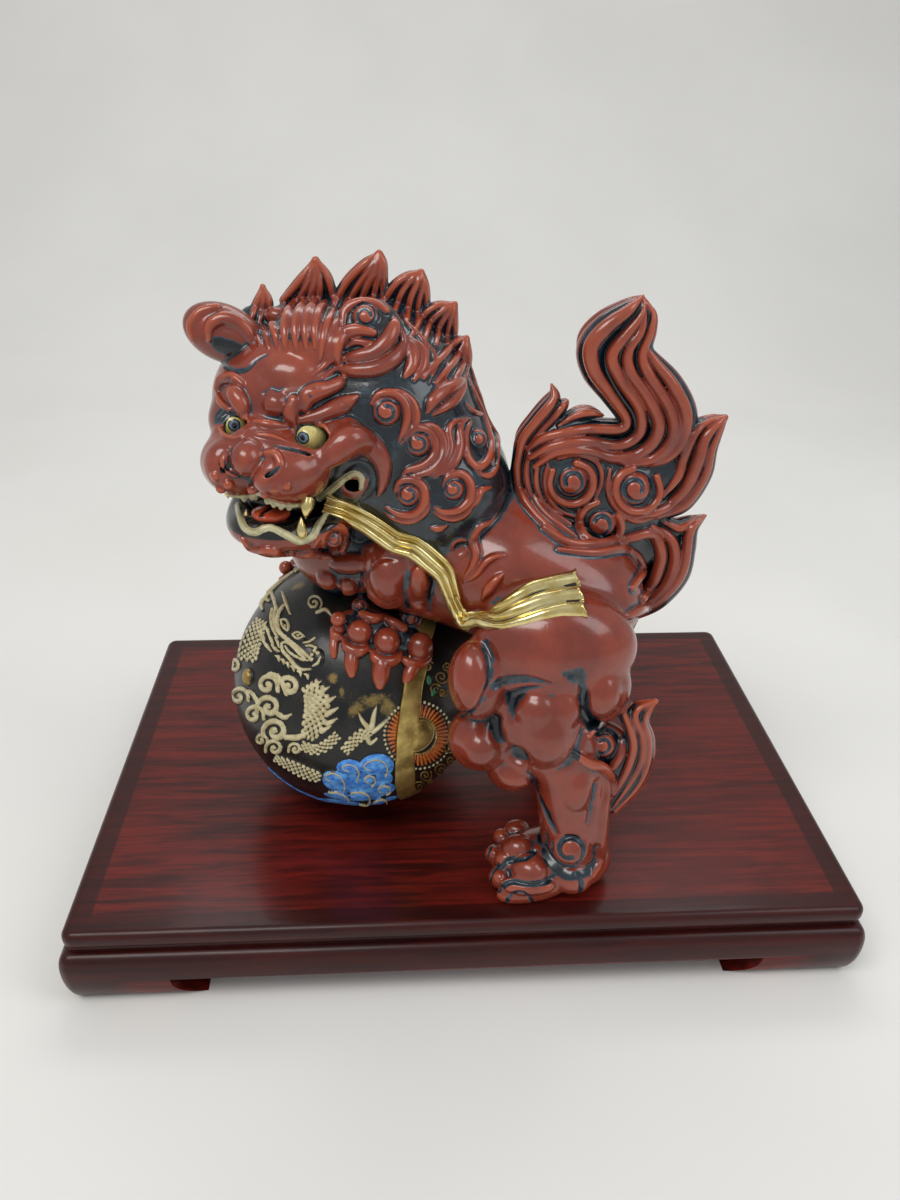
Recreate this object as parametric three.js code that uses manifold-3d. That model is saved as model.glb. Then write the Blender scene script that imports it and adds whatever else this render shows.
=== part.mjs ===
// A glazed ceramic guardian lion with its paw on a ball, standing on a lacquered wooden stand.
// Millimetres, +Z up. The origin is the middle of the stand's footprint, on the surface it stands on.
// The figure is built as such figures are: cast sections and applied details, each its own solid,
// that meet at thin luting gaps. The stand is a board on four mitred, moulded rails.
import * as THREE from 'three';
import { mergeVertices } from 'three/addons/utils/BufferGeometryUtils.js';
import Module from 'manifold-3d';

const wasm = await Module();
wasm.setup();

// Stand sizes
const STAND_WIDTH = 489;
const STAND_DEPTH = 329;
const STAND_HEIGHT = 56;
const BOARD_THICKNESS = 12;
const BOARD_ROUND = 4;
const BOARD_SETBACK = 4.5;
const CORNER_RADIUS = 8;
const RAIL_THICKNESS = 30;
const RAIL_NECK = 8;
const NECK_HEIGHT = 4;
const RAIL_FOOT_INSET = 9;
const FOOT_LENGTH = 65;
const FOOT_SPREAD = 19;
const APRON_GAP = 22;
const BLOCK_LEG = 30;
const BLOCK_HEIGHT = 20;
const BATTEN_WIDTH = 26;
const BATTEN_HEIGHT = 13;
const BATTEN_SPACING = 170;

// Figure sizes
const SEAM = 0.3;
const WALL = 7;
const VENT_RADIUS = 7;
const BALL_RADIUS = 83;
const BALL_FLAT = 2;
const BALL_X = -67;
const BALL_Y = -22;
const BAND_WIDTH = 12;
const BAND_PROUD = 1.6;
const BAND_OFFSET = 45;
const BAND_TURN = -12.7;
const MEDALLION_RADIUS = 12;
const HEAD_TURN = 71.5;
const HEAD_LIFT = 9.7;
const HEAD_ROLL = -2.2;
const EYE_RADIUS = 9;
const EYE_SPACING = 42;
const FANG_LENGTH = 9;
const FANG_RADIUS = 3.2;
const MUZZLE_WIDTH = 66;
const CURL_RADIUS = 10;
const CURL_STRAND = 2.5;
const TAIL_THICKNESS = 40;
const TAIL_CURL_RADIUS = 12.5;
const RIBBON_WIDTH = 19;
const RIBBON_THICKNESS = 7;
const TOE_RADIUS = 9;
const ARM_LIFT = 22; // of the end of an arm above the ball

const RAIL_HEIGHT = STAND_HEIGHT - BOARD_THICKNESS;
const RIGHT_ANGLE = Math.PI / 2;
const degrees = THREE.MathUtils.degToRad;
const vector = (p) => new THREE.Vector3(...p);

// Materials
const glaze = (color, roughness) => new THREE.MeshStandardMaterial({ color, roughness, metalness: 0 });
const redGlaze = glaze(0x7a2f22, 0.25);
const blackGlaze = glaze(0x14181c, 0.2);
const eyeGlaze = glaze(0xc9b25a, 0.2);
const tongueGlaze = glaze(0xb5492c, 0.3);
const gilding = new THREE.MeshStandardMaterial({ color: 0xb8973f, roughness: 0.25, metalness: 0.9 });
const lacquer = glaze(0x4a1513, 0.3);
const rawWood = glaze(0x6b4a32, 0.7);

// Solids from geometry
function solidOf(geometry, mirrored = false) {
  const bare = geometry.clone();
  bare.deleteAttribute('normal');
  bare.deleteAttribute('uv');
  const merged = mergeVertices(bare, 1e-4);
  const vertProperties = merged.attributes.position.array;
  const triVerts = new Uint32Array(merged.index.array);
  if (mirrored) triVerts.reverse();
  return new wasm.Manifold(new wasm.Mesh({ numProp: 3, vertProperties, triVerts }));
}

function geometryOf(solid) {
  const mesh = solid.getMesh();
  const geometry = new THREE.BufferGeometry();
  geometry.setAttribute('position', new THREE.BufferAttribute(mesh.vertProperties, 3));
  geometry.setIndex(new THREE.BufferAttribute(mesh.triVerts, 1));
  geometry.computeVertexNormals();
  return geometry;
}

const largest = (solid) => solid.decompose().reduce((a, b) => (a.volume() > b.volume() ? a : b));
const joined = (solids) => solids.reduce((a, b) => a.add(b));

// Forms. A form is a function of grow, the thickness added all round, that gives a solid.
const join = (...forms) => (grow = 0) => joined(forms.map((form) => form(grow)));
const cut = (form, tool) => (grow = 0) => form(grow).subtract(tool(-grow));

function ellipsoid(at, radii, { turn = [0, 0, 0], frame = new THREE.Matrix4(), sides = 10, rings = 6 } = {}) {
  return (grow = 0) => {
    const [rx, ry, rz] = radii.map((r) => Math.max(r + grow, 0.5));
    const place = new THREE.Matrix4().compose(
      vector(at),
      new THREE.Quaternion().setFromEuler(new THREE.Euler(...turn.map(degrees))),
      new THREE.Vector3(rx, ry, rz),
    );
    const ball = new THREE.SphereGeometry(1, sides, rings).rotateX(RIGHT_ANGLE);
    return solidOf(ball.applyMatrix4(place).applyMatrix4(frame), frame.determinant() < 0);
  };
}

// A rounded strand along a smooth path of [x, y, z, radius] stations. side is the way its section is wide.
function strand(stations, { side = [0, 1, 0], wide = 1, thick = 1, sides = 6, steps = 6, frame = new THREE.Matrix4() } = {}) {
  return (grow = 0) => {
    const path = new THREE.CatmullRomCurve3(stations.map(([x, y, z]) => new THREE.Vector3(x, y, z)));
    const girth = new THREE.CatmullRomCurve3(stations.map((s, i) => new THREE.Vector3(s[3], i, 0)));
    const rings = [];
    const ring = (centre, tangent, radius) => {
      const across = vector(side).addScaledVector(tangent, -vector(side).dot(tangent)).normalize();
      const over = tangent.clone().cross(across);
      const points = [];
      for (let k = 0; k < sides; k++) {
        const a = (2 * Math.PI * k) / sides;
        const out = across.clone().multiplyScalar(Math.cos(a) * (radius * wide + grow));
        points.push(centre.clone().add(out.addScaledVector(over, Math.sin(a) * (radius * thick + grow))));
      }
      rings.push(points);
    };
    const cap = (t, sign) => {
      const radius = girth.getPoint(t).x;
      const reach = radius * Math.min(wide, thick) + grow;
      return [0.55, 0.9].map((lean) => {
        const centre = path.getPoint(t).addScaledVector(path.getTangent(t), sign * reach * lean);
        return [centre, path.getTangent(t), radius * Math.sqrt(1 - lean * lean)];
      });
    };
    const start = cap(0, -1).reverse();
    const end = cap(1, 1);
    start.forEach((station) => ring(...station));
    for (let i = 0; i <= steps; i++) ring(path.getPoint(i / steps), path.getTangent(i / steps), girth.getPoint(i / steps).x);
    end.forEach((station) => ring(...station));
    return solidOf(skin(rings).applyMatrix4(frame), frame.determinant() < 0);
  };
}

// Closes rings of points into one skin, with a fan over each end.
function skin(rings) {
  const count = rings[0].length;
  const middle = (points) => points.reduce((sum, p) => sum.add(p), new THREE.Vector3()).divideScalar(count);
  const points = [middle(rings[0]), ...rings.flat(), middle(rings[rings.length - 1])];
  const index = [];
  for (let k = 0; k < count; k++) {
    const next = (k + 1) % count;
    index.push(0, 1 + next, 1 + k);
    for (let i = 0; i + 1 < rings.length; i++) {
      const low = 1 + i * count;
      const high = low + count;
      index.push(low + k, low + next, high + k, low + next, high + next, high + k);
    }
    const last = 1 + (rings.length - 1) * count;
    index.push(last + k, last + next, points.length - 1);
  }
  const geometry = new THREE.BufferGeometry().setFromPoints(points);
  geometry.setIndex(index);
  return geometry;
}

// A spiral curl lying flat on a surface with this normal, its eye at the middle and its tail flying off.
function curl(eye, normal, { radius = CURL_RADIUS, turns = 1.3, start = 0, hand = 1, girth = CURL_STRAND, frame } = {}) {
  const up = vector(normal).normalize();
  const along = new THREE.Vector3(0, 0, 1).cross(up).normalize();
  const over = up.clone().cross(along);
  const stations = [];
  const count = Math.round(turns * 8);
  for (let i = 0; i <= count; i++) {
    const share = i / count;
    const angle = degrees(start) + hand * 2 * Math.PI * turns * share;
    const reach = radius * (0.12 + 0.88 * share);
    const point = vector(eye).addScaledVector(along, reach * Math.cos(angle)).addScaledVector(over, reach * Math.sin(angle));
    point.addScaledVector(up, girth * (0.5 - 0.8 * share));
    stations.push([point.x, point.y, point.z, girth * (1.1 - 0.35 * share)]);
  }
  return strand(stations, { side: normal, sides: 5, steps: count, frame });
}

// A slab from one height to another over an outline in plan
function prism(outline, bottom, top) {
  const shape = new THREE.Shape(outline.map(([x, y]) => new THREE.Vector2(x, y)));
  return solidOf(new THREE.ExtrudeGeometry(shape, { depth: top - bottom, bevelEnabled: false }).translate(0, 0, bottom));
}

// Scene graph
const part = new THREE.Group();
const stand = new THREE.Group();
const figure = new THREE.Group();
figure.position.z = STAND_HEIGHT;
part.add(stand, figure);

function addMesh(group, name, material, solid) {
  const mesh = new THREE.Mesh(geometryOf(solid), material);
  mesh.name = name;
  group.add(mesh);
  return mesh;
}

// Outline in plan of a rectangle with rounded corners
function roundedOutline(width, depth, radius) {
  const x = width / 2;
  const y = depth / 2;
  const outline = new THREE.Shape();
  outline.moveTo(radius - x, -y);
  outline.lineTo(x - radius, -y);
  outline.absarc(x - radius, radius - y, radius, -RIGHT_ANGLE, 0);
  outline.lineTo(x, y - radius);
  outline.absarc(x - radius, y - radius, radius, 0, RIGHT_ANGLE);
  outline.lineTo(radius - x, y);
  outline.absarc(radius - x, y - radius, radius, RIGHT_ANGLE, 2 * RIGHT_ANGLE);
  outline.lineTo(-x, radius - y);
  outline.absarc(radius - x, radius - y, radius, 2 * RIGHT_ANGLE, 3 * RIGHT_ANGLE);
  return outline;
}

// Stand board: its upper edge is rolled over
function standBoard() {
  const inset = BOARD_SETBACK + BOARD_ROUND;
  const shape = roundedOutline(STAND_WIDTH - 2 * inset, STAND_DEPTH - 2 * inset, CORNER_RADIUS - BOARD_ROUND);
  const rolled = { bevelThickness: BOARD_ROUND, bevelSize: BOARD_ROUND, bevelSegments: 2, curveSegments: 2 };
  const board = new THREE.ExtrudeGeometry(shape, { depth: BOARD_THICKNESS - 2 * BOARD_ROUND, ...rolled });
  return solidOf(board.translate(0, 0, RAIL_HEIGHT + BOARD_ROUND));
}
addMesh(stand, 'stand_board', lacquer, standBoard());

// Rails: an ogee section with a narrow neck under the board, cut away between the feet and mitred
function railSection() {
  const neck = RAIL_HEIGHT - NECK_HEIGHT;
  const swell = RAIL_HEIGHT * 0.6;
  const section = new THREE.Shape();
  section.moveTo(RAIL_THICKNESS, 0);
  section.lineTo(RAIL_THICKNESS, RAIL_HEIGHT);
  section.lineTo(RAIL_NECK, RAIL_HEIGHT);
  section.lineTo(RAIL_NECK, neck);
  section.quadraticCurveTo(0, neck, 0, swell);
  section.bezierCurveTo(0, swell / 2, RAIL_FOOT_INSET / 2, swell / 6, RAIL_FOOT_INSET, 0);
  return section;
}

// A rail along +X whose outer face looks towards -Y, in the middle of its side
function rail(length, reach) {
  const moulding = new THREE.ExtrudeGeometry(railSection(), { depth: length, bevelEnabled: false, curveSegments: 6 });
  moulding.applyMatrix4(new THREE.Matrix4().makeBasis(vector([0, 1, 0]), vector([0, 0, 1]), vector([1, 0, 0])));
  moulding.translate(-length / 2, 0, 0);
  const half = length / 2 - SEAM / 2;
  const mitre = prism([[-half, 0], [half, 0], [half - RAIL_THICKNESS, RAIL_THICKNESS], [RAIL_THICKNESS - half, RAIL_THICKNESS]], 0, RAIL_HEIGHT);
  const apron = new THREE.Shape();
  const foot = length / 2 - FOOT_LENGTH;
  apron.moveTo(-foot + FOOT_SPREAD, -1);
  apron.lineTo(-foot + FOOT_SPREAD, 0);
  apron.quadraticCurveTo(-foot, APRON_GAP / 4, -foot, APRON_GAP);
  apron.lineTo(foot, APRON_GAP);
  apron.quadraticCurveTo(foot, APRON_GAP / 4, foot - FOOT_SPREAD, 0);
  apron.lineTo(foot - FOOT_SPREAD, -1);
  const gap = new THREE.ExtrudeGeometry(apron, { depth: RAIL_THICKNESS + 2, bevelEnabled: false, curveSegments: 4 });
  gap.rotateX(RIGHT_ANGLE).translate(0, RAIL_THICKNESS + 1, 0);
  const outline = roundedOutline(length, reach, CORNER_RADIUS);
  const corners = new THREE.ExtrudeGeometry(outline, { depth: STAND_HEIGHT, bevelEnabled: false, curveSegments: 3 });
  corners.translate(0, reach / 2, 0);
  return solidOf(moulding).intersect(mitre).subtract(solidOf(gap)).intersect(solidOf(corners));
}

const rails = [
  ['front', 0, STAND_WIDTH, STAND_DEPTH],
  ['right', 90, STAND_DEPTH, STAND_WIDTH],
  ['back', 180, STAND_WIDTH, STAND_DEPTH],
  ['left', 270, STAND_DEPTH, STAND_WIDTH],
];
for (const [side, turn, length, reach] of rails) {
  const mesh = addMesh(stand, `stand_rail_${side}`, lacquer, rail(length, reach));
  mesh.rotation.z = degrees(turn);
  mesh.position.set(0, -reach / 2, 0).applyEuler(mesh.rotation);
}

// Glue blocks in the corners, and battens across the underside of the board
const insideX = STAND_WIDTH / 2 - RAIL_THICKNESS - SEAM;
const insideY = STAND_DEPTH / 2 - RAIL_THICKNESS - SEAM;
for (const [row, sy] of [['front', -1], ['back', 1]]) {
  for (const [column, sx] of [['left', -1], ['right', 1]]) {
    const corner = [[insideX, insideY], [insideX - BLOCK_LEG, insideY], [insideX, insideY - BLOCK_LEG]].map(([x, y]) => [x * sx, y * sy]);
    const outline = sx * sy > 0 ? corner : corner.reverse();
    addMesh(stand, `glue_block_${row}_${column}`, rawWood, prism(outline, RAIL_HEIGHT - BLOCK_HEIGHT, RAIL_HEIGHT));
  }
}
for (const [name, sx] of [['left', -1], ['right', 1]]) {
  const middle = (sx * BATTEN_SPACING) / 2;
  const [low, high] = [middle - BATTEN_WIDTH / 2, middle + BATTEN_WIDTH / 2];
  const outline = [[low, -insideY], [high, -insideY], [high, insideY], [low, insideY]];
  addMesh(stand, `board_batten_${name}`, rawWood, prism(outline, RAIL_HEIGHT - BATTEN_HEIGHT, RAIL_HEIGHT));
}

// Figure pieces. Each is cut back by a seam from every piece that was placed before it,
// and by the board that it stands on.
const placed = [];
const ground = prism([[-500, -500], [500, -500], [500, 500], [-500, 500]], -500, 0);

function meet(a, b) {
  return [0, 1, 2].every((k) => a.min[k] < b.max[k] && b.min[k] < a.max[k]);
}

function addPiece(name, material, form, hollow = null) {
  let solid = form().subtract(ground);
  for (const other of placed) {
    if (meet(other.grown.boundingBox(), solid.boundingBox())) solid = solid.subtract(other.grown);
  }
  if (hollow) solid = solid.subtract(hollow());
  if (solid.isEmpty()) throw new Error(`nothing left of ${name}`);
  solid = largest(solid);
  placed.push({ name, grown: form(SEAM) });
  return addMesh(figure, name, material, solid);
}

// Ball, with the paws' places on it as directions from its middle
const ballMiddle = [BALL_X, BALL_Y, BALL_RADIUS - BALL_FLAT];
const onBall = (direction, lift) => vector(direction).normalize().multiplyScalar(BALL_RADIUS + lift).add(vector(ballMiddle)).toArray();
const ballVent = strand([[BALL_X, BALL_Y, -BALL_RADIUS, VENT_RADIUS], [BALL_X, BALL_Y, 2 * WALL, VENT_RADIUS]], { sides: 10, steps: 2 });
const sphere = (radius, detail) => ellipsoid(ballMiddle, [radius, radius, radius], detail);
addPiece('ball_shell', blackGlaze, sphere(BALL_RADIUS, { sides: 28, rings: 16 }), join(sphere(BALL_RADIUS - WALL, {}), ballVent));

// The gilt band is a hoop round the ball, in a plane off its middle. Grown, it reaches into the ball,
// so that what is cut back from it leaves no skin between the two.
function hoop(grow = 0) {
  const outer = BALL_RADIUS + BAND_PROUD + grow;
  const inner = BALL_RADIUS + (grow > 0 ? -grow : 3.2 * SEAM);
  const edge = (radius, x) => new THREE.Vector2(Math.sqrt(radius * radius - x * x), x);
  const near = BAND_OFFSET - BAND_WIDTH / 2 - grow;
  const far = BAND_OFFSET + BAND_WIDTH / 2 + grow;
  const profile = [edge(inner, near), edge(outer, near), edge(outer, far), edge(inner, far), edge(inner, near)];
  const place = new THREE.Matrix4().makeRotationZ(degrees(BAND_TURN)).setPosition(...ballMiddle);
  return solidOf(new THREE.LatheGeometry(profile, 32).rotateZ(-RIGHT_ANGLE).applyMatrix4(place));
}
addPiece('ball_gilt_band', gilding, hoop);
const medallion = [0.47, -0.875, 0.108];
addPiece('ball_medallion', gilding, ellipsoid(onBall(medallion, -6), [MEDALLION_RADIUS, MEDALLION_RADIUS, MEDALLION_RADIUS]));

// Head, in its own frame: X out of the face, Y to the lion's left, Z up
const headMiddle = [-96, -42, 265];
const headTurn = new THREE.Euler(degrees(HEAD_ROLL), degrees(-HEAD_LIFT), degrees(180 + HEAD_TURN), 'ZYX');
const headFrame = new THREE.Matrix4().makeRotationFromEuler(headTurn).setPosition(...headMiddle);
const inHead = { frame: headFrame };
const sidesOf = [['left', 1], ['right', -1]];

for (const [side, s] of sidesOf) {
  const eye = [30, (s * EYE_SPACING) / 2, 5];
  addPiece(`eye_${side}`, eyeGlaze, ellipsoid(eye, [EYE_RADIUS, EYE_RADIUS, EYE_RADIUS], { ...inHead }));
}

const muzzleHalf = MUZZLE_WIDTH / 2;
const skull = ellipsoid([-2, 0, 12], [42, 47, 40], inHead);
const cheek = (s) => strand([[30, s * 26, -2, 12], [14, s * 41, 2, 12], [-2, s * 44, -12, 10], [0, s * 40, -32, 7]], { ...inHead, side: [0, 0, 1] });
const muzzle = join(
  ellipsoid([38, muzzleHalf * 0.42, -17], [23, muzzleHalf * 0.6, 16], inHead),
  ellipsoid([38, -muzzleHalf * 0.42, -17], [23, muzzleHalf * 0.6, 16], inHead),
  ellipsoid([34, 0, -4], [24, 20, 14], inHead),
);
const mouth = ellipsoid([36, 0, -38], [40, muzzleHalf + 7, 9], inHead);
const headHollow = join(ellipsoid([-4, 0, 12], [42 - WALL, 47 - WALL, 40 - WALL], { ...inHead, sides: 8, rings: 5 }), mouth);
addPiece('head_casting', redGlaze, join(skull, muzzle, cheek(1), cheek(-1)), headHollow);

const jawPath = [[2, -36, -40, 8], [26, -28, -49, 8], [42, -12, -50, 8], [45, 0, -49, 8], [42, 12, -50, 8], [26, 28, -49, 8], [2, 36, -40, 8]];
const jaw = join(strand(jawPath, { ...inHead, side: [0, 0, 1], steps: 10 }), ellipsoid([14, 0, -54], [26, 30, 9], inHead));
addPiece('lower_jaw', redGlaze, jaw);
addPiece('tongue', tongueGlaze, ellipsoid([30, 0, -41], [24, 14, 5], { ...inHead, sides: 12, rings: 6 }));
for (const [side, s] of sidesOf) {
  const upper = [[45, s * 17, -26, FANG_RADIUS], [46, s * 17, -26 - FANG_LENGTH / 2, FANG_RADIUS * 0.75], [46, s * 17, -26 - FANG_LENGTH, 0.8]];
  const lower = [[40, s * 20, -50, FANG_RADIUS], [41, s * 20, -50 + FANG_LENGTH / 2, FANG_RADIUS * 0.75], [41, s * 20, -49 + FANG_LENGTH, 0.8]];
  addPiece(`fang_upper_${side}`, gilding, strand(upper, { ...inHead, sides: 6, steps: 3 }));
  addPiece(`fang_lower_${side}`, gilding, strand(lower, { ...inHead, sides: 6, steps: 3 }));
}
addPiece('nose', redGlaze, join(ellipsoid([55, 0, -6], [10, 12, 9], inHead), ...[11, -11].map((y) => ellipsoid([50, y, -9], [8, 7, 6], { ...inHead, sides: 8, rings: 5 }))));
for (const [side, s] of sidesOf) {
  const brow = [[40, s * 7, 10, 6], [38, s * 16, 14, 7], [32, s * 28, 21, 7], [22, s * 38, 30, 4]];
  addPiece(`brow_${side}`, redGlaze, strand(brow, { ...inHead, side: [0, 0, 1], steps: 6 }));
}
for (const [side, s] of sidesOf) {
  const ear = [[0, s * 28, 44, 9], [4, s * 40, 50, 14], [6, s * 54, 46, 13], [8, s * 63, 38, 6]];
  addPiece(`ear_${side}`, redGlaze, strand(ear, { ...inHead, side: [0, 0, 1], thick: 0.75, steps: 7 }));
}

// Body and mane castings
const body = [[-20, -30, 188, 50], [22, -46, 180, 49], [58, -58, 166, 46]];
const bodyForm = (inset, detail, blobs = body) => join(...blobs.map(([x, y, z, r]) => ellipsoid([x, y, z], [r - inset, r + 2 - inset, r - 4 - inset], detail)));
const bellyVent = strand([[22, -46, 100, VENT_RADIUS], [22, -46, 180, VENT_RADIUS]], { sides: 8, steps: 2, side: [0, 1, 0] });
const bodyHollow = cut(bodyForm(WALL, { sides: 8, rings: 5 }, body.slice(1)), sphere(BALL_RADIUS + WALL, { sides: 12, rings: 8 }));
addPiece('body_casting', redGlaze, bodyForm(0), join(bodyHollow, bellyVent));
const maneBlobs = [[-52, -28, 258, 58, 54, 66], [-22, -38, 228, 46, 50, 46]];
const maneForm = (inset, detail) => join(...maneBlobs.map(([x, y, z, a, b, c]) => ellipsoid([x, y, z], [a - inset, b - inset, c - inset], detail)));
const neckVent = strand([[-40, -30, 240, VENT_RADIUS], [-20, -30, 180, VENT_RADIUS]], { sides: 8, steps: 2 });
addPiece('mane_casting', blackGlaze, maneForm(0), join(maneForm(WALL, { sides: 8, rings: 5 }), neckVent));

// Hind legs. A leg's frame has X towards the toes, Y outwards and Z up, from the middle of its paw.
const legFrame = (x, y, toes, out) => new THREE.Matrix4().makeBasis(vector(toes), vector(out), vector([0, 0, 1])).setPosition(x, y, 0);
const hindFrames = {
  left: legFrame(48, -122, [-1, 0, 0], [0, -1, 0]),
  right: legFrame(64, 8, [-0.94, 0.342, 0], [0.342, 0.94, 0]),
};
function hindLeg(frame) {
  const set = { frame };
  const small = { frame, sides: 8, rings: 6 };
  const thigh = join(
    ellipsoid([4, -12, 160], [46, 27, 34], set),
    ellipsoid([46, -4, 146], [17, 19, 24], small),
    ellipsoid([10, -2, 116], [27, 22, 36], set),
    ellipsoid([42, -6, 104], [20, 18, 20], small),
    ellipsoid([24, -4, 86], [16, 15, 17], small),
    ellipsoid([-22, -6, 138], [18, 18, 22], small),
  );
  const shank = strand([[-4, 0, 110, 20], [-14, 0, 72, 19], [-18, 0, 42, 19], [-16, 0, 16, 18]], { ...set, side: [1, 0, 0], steps: 6 });
  return join(thigh, shank);
}
function hindPaw(frame) {
  const set = { frame };
  const toe = (y, x) => ellipsoid([x, y, TOE_RADIUS + 4], [TOE_RADIUS + 3, TOE_RADIUS, TOE_RADIUS + 5], { ...set, sides: 7, rings: 5 });
  return join(
    ellipsoid([-8, 0, 14], [34, 27, 21], set),
    ellipsoid([14, 0, 10], [20, 25, 15], set),
    toe(-20, 22), toe(-7, 30), toe(8, 30), toe(21, 20),
  );
}
for (const [side] of sidesOf) {
  const frame = hindFrames[side];
  addPiece(`hind_leg_${side}`, redGlaze, hindLeg(frame));
  addPiece(`hind_paw_${side}`, redGlaze, hindPaw(frame));
  const tuft = [[-26, 4, 48, 8], [-34, 4, 76, 15], [-35, 4, 99, 15], [-46, 4, 118, 7], [-54, 4, 132, 1.5]];
  addPiece(`hind_tuft_${side}`, redGlaze, strand(tuft, { frame, side: [1, 0, 0], thick: 0.6, steps: 8 }));
}

// Forelegs: each arm comes off the chest and its paw holds the ball
function foreLeg(shoulder, elbow, paw, spread) {
  return strand([[...shoulder, 27], [...elbow, 24], [...onBall(paw, ARM_LIFT), 17]], { side: spread, steps: 5, sides: 8 });
}
function forePaw(paw, spread, reach) {
  const out = vector(paw).normalize();
  const across = vector(spread).addScaledVector(out, -vector(spread).dot(out)).normalize();
  const down = vector(reach).addScaledVector(out, -vector(reach).dot(out)).normalize();
  const on = (side, forward, lift) => {
    const way = out.clone().addScaledVector(across, side / BALL_RADIUS).addScaledVector(down, forward / BALL_RADIUS);
    return onBall(way.toArray(), lift);
  };
  const pawFrame = new THREE.Matrix4().makeBasis(across, out.clone().cross(across), out).setPosition(...on(0, 0, 5));
  const palm = ellipsoid([0, 0, 0], [3 * TOE_RADIUS, 2.3 * TOE_RADIUS, 1.6 * TOE_RADIUS], { frame: pawFrame });
  const toes = [-2.7, -0.9, 0.9, 2.5].flatMap((place) => {
    const side = place * TOE_RADIUS;
    const forward = 1.8 * TOE_RADIUS - Math.abs(side) * 0.2;
    const toe = strand([[...on(side * 0.7, 0, 7), TOE_RADIUS], [...on(side, forward, TOE_RADIUS), TOE_RADIUS]], { side: spread, steps: 1 });
    const claw = [[...on(side, forward + 4, 8), 6], [...on(side, forward + 14, 5), 5], [...on(side, forward + 28, 1), 2]];
    return [toe, strand(claw, { side: spread, steps: 2, sides: 5 })];
  });
  return join(palm, ...toes);
}
const nearPaw = [0.15, -0.5, 0.85];
const farPaw = [-0.34, 0.6, 0.72];
const nearSpread = [0.93, -0.19, -0.3];
const farSpread = [0.6, 0.75, 0.1];
addPiece('fore_leg_left', redGlaze, foreLeg([-22, -58, 206], [-38, -64, 190], nearPaw, nearSpread));
addPiece('fore_paw_left', redGlaze, forePaw(nearPaw, nearSpread, [-0.1, -0.55, -0.8]));
addPiece('fore_leg_right', redGlaze, foreLeg([-62, 4, 206], [-90, 18, 186], farPaw, farSpread));
addPiece('fore_paw_right', redGlaze, forePaw(farPaw, farSpread, [-0.5, 0.7, -0.5]));

// Tail: a flat core with flames drawn out of it, standing on the rump
const tailX = 76;
const tailY = -45;
const tailZ = 218;
const tailWide = 46;
const tailTall = 38;
const tailFlat = { side: [0, 1, 0], sides: 8 };
const tailHalf = TAIL_THICKNESS / 2;
const flame = (stations, steps = 10) => strand(stations.map(([x, z, r]) => [x, tailY, z, r]), { ...tailFlat, steps });
const tailForm = join(
  ellipsoid([tailX, tailY, tailZ], [tailWide, tailHalf, tailTall]),
  ellipsoid([52, tailY, 240], [25, tailHalf * 0.9, 32]),
  flame([[58, 250, 17], [92, 262, 19], [102, 282, 18], [84, 302, 16], [74, 318, 11], [86, 335, 2]], 10),
  flame([[34, 250, 9], [36, 268, 7], [42, 289, 1.5]], 5),
  flame([[100, 222, 17], [122, 238, 12], [131, 254, 8], [142, 269, 1.5]], 8),
  flame([[84, 205, 20], [96, 176, 22], [121, 178, 16], [132, 190, 10], [141, 209, 1.5]], 8),
);
addPiece('tail_casting', redGlaze, tailForm);
const tailFront = [0, -1, 0.1];
const onTail = (x, z) => tailY - tailHalf * Math.sqrt(1 - ((x - tailX) / tailWide) ** 2 - ((z - tailZ) / tailTall) ** 2);
for (const [name, x, z, start, hand] of [['left', 57, 232, 200, -1], ['right', 97, 228, 340, 1], ['lower', 78, 205, 90, -1]]) {
  addPiece(`tail_curl_${name}`, redGlaze, curl([x, onTail(x, z), z], tailFront, { radius: TAIL_CURL_RADIUS, start, hand, girth: CURL_STRAND * 1.15 }));
}

// Mane crest: flame locks standing round the back of the head
const crest = [
  [[-116, -14, 300], [-112, -20, 336], 11],
  [[-92, -6, 310], [-82, -18, 351], 14],
  [[-64, -8, 312], [-50, -20, 354], 15],
  [[-40, -12, 306], [-27, -22, 343], 14],
  [[-22, -16, 292], [-9, -24, 327], 13],
  [[-12, -22, 276], [-1, -30, 311], 12],
];
crest.forEach(([root, tip, width], i) => {
  const middle = vector(root).lerp(vector(tip), 0.55).add(new THREE.Vector3(-3, 0, 0)).toArray();
  const lock = strand([[...root, width], [...middle, width * 0.8], [...tip, 1.5]], { side: [1, 0, 0.2], thick: 0.6, steps: 5 });
  addPiece(`crest_lock_${i + 1}`, redGlaze, lock);
});

// Mane curls, set on the mane by a direction from the middle of its crown
const maneMiddle = vector(maneBlobs[0]);
function onMane(direction) {
  const way = vector(direction).normalize();
  const exits = maneBlobs.map(([x, y, z, a, b, c]) => {
    const from = maneMiddle.clone().sub(new THREE.Vector3(x, y, z));
    const shrink = new THREE.Vector3(1 / a, 1 / b, 1 / c);
    const w = way.clone().multiply(shrink);
    const f = from.clone().multiply(shrink);
    const root = w.dot(f) ** 2 - w.dot(w) * (f.dot(f) - 1);
    const reach = root > 0 ? (Math.sqrt(root) - w.dot(f)) / w.dot(w) : 0;
    const normal = from.clone().addScaledVector(way, reach).multiply(shrink).multiply(shrink).normalize();
    return { reach, normal: normal.toArray(), at: maneMiddle.clone().addScaledVector(way, reach).toArray() };
  });
  return exits.reduce((far, exit) => (exit.reach > far.reach ? exit : far));
}
const maneCurls = [
  ['left_1', [8, -54, 29], 20, 1], ['left_2', [22, -56, 10], 120, -1], ['left_3', [18, -56, -17], 300, 1],
  ['left_4', [42, -43, -20], 320, 1], ['left_5', [54, -34, 6], 100, -1],
  ['right_1', [-10, 54, 20], 20, -1], ['right_2', [18, 50, -6], 120, 1],
];
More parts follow.
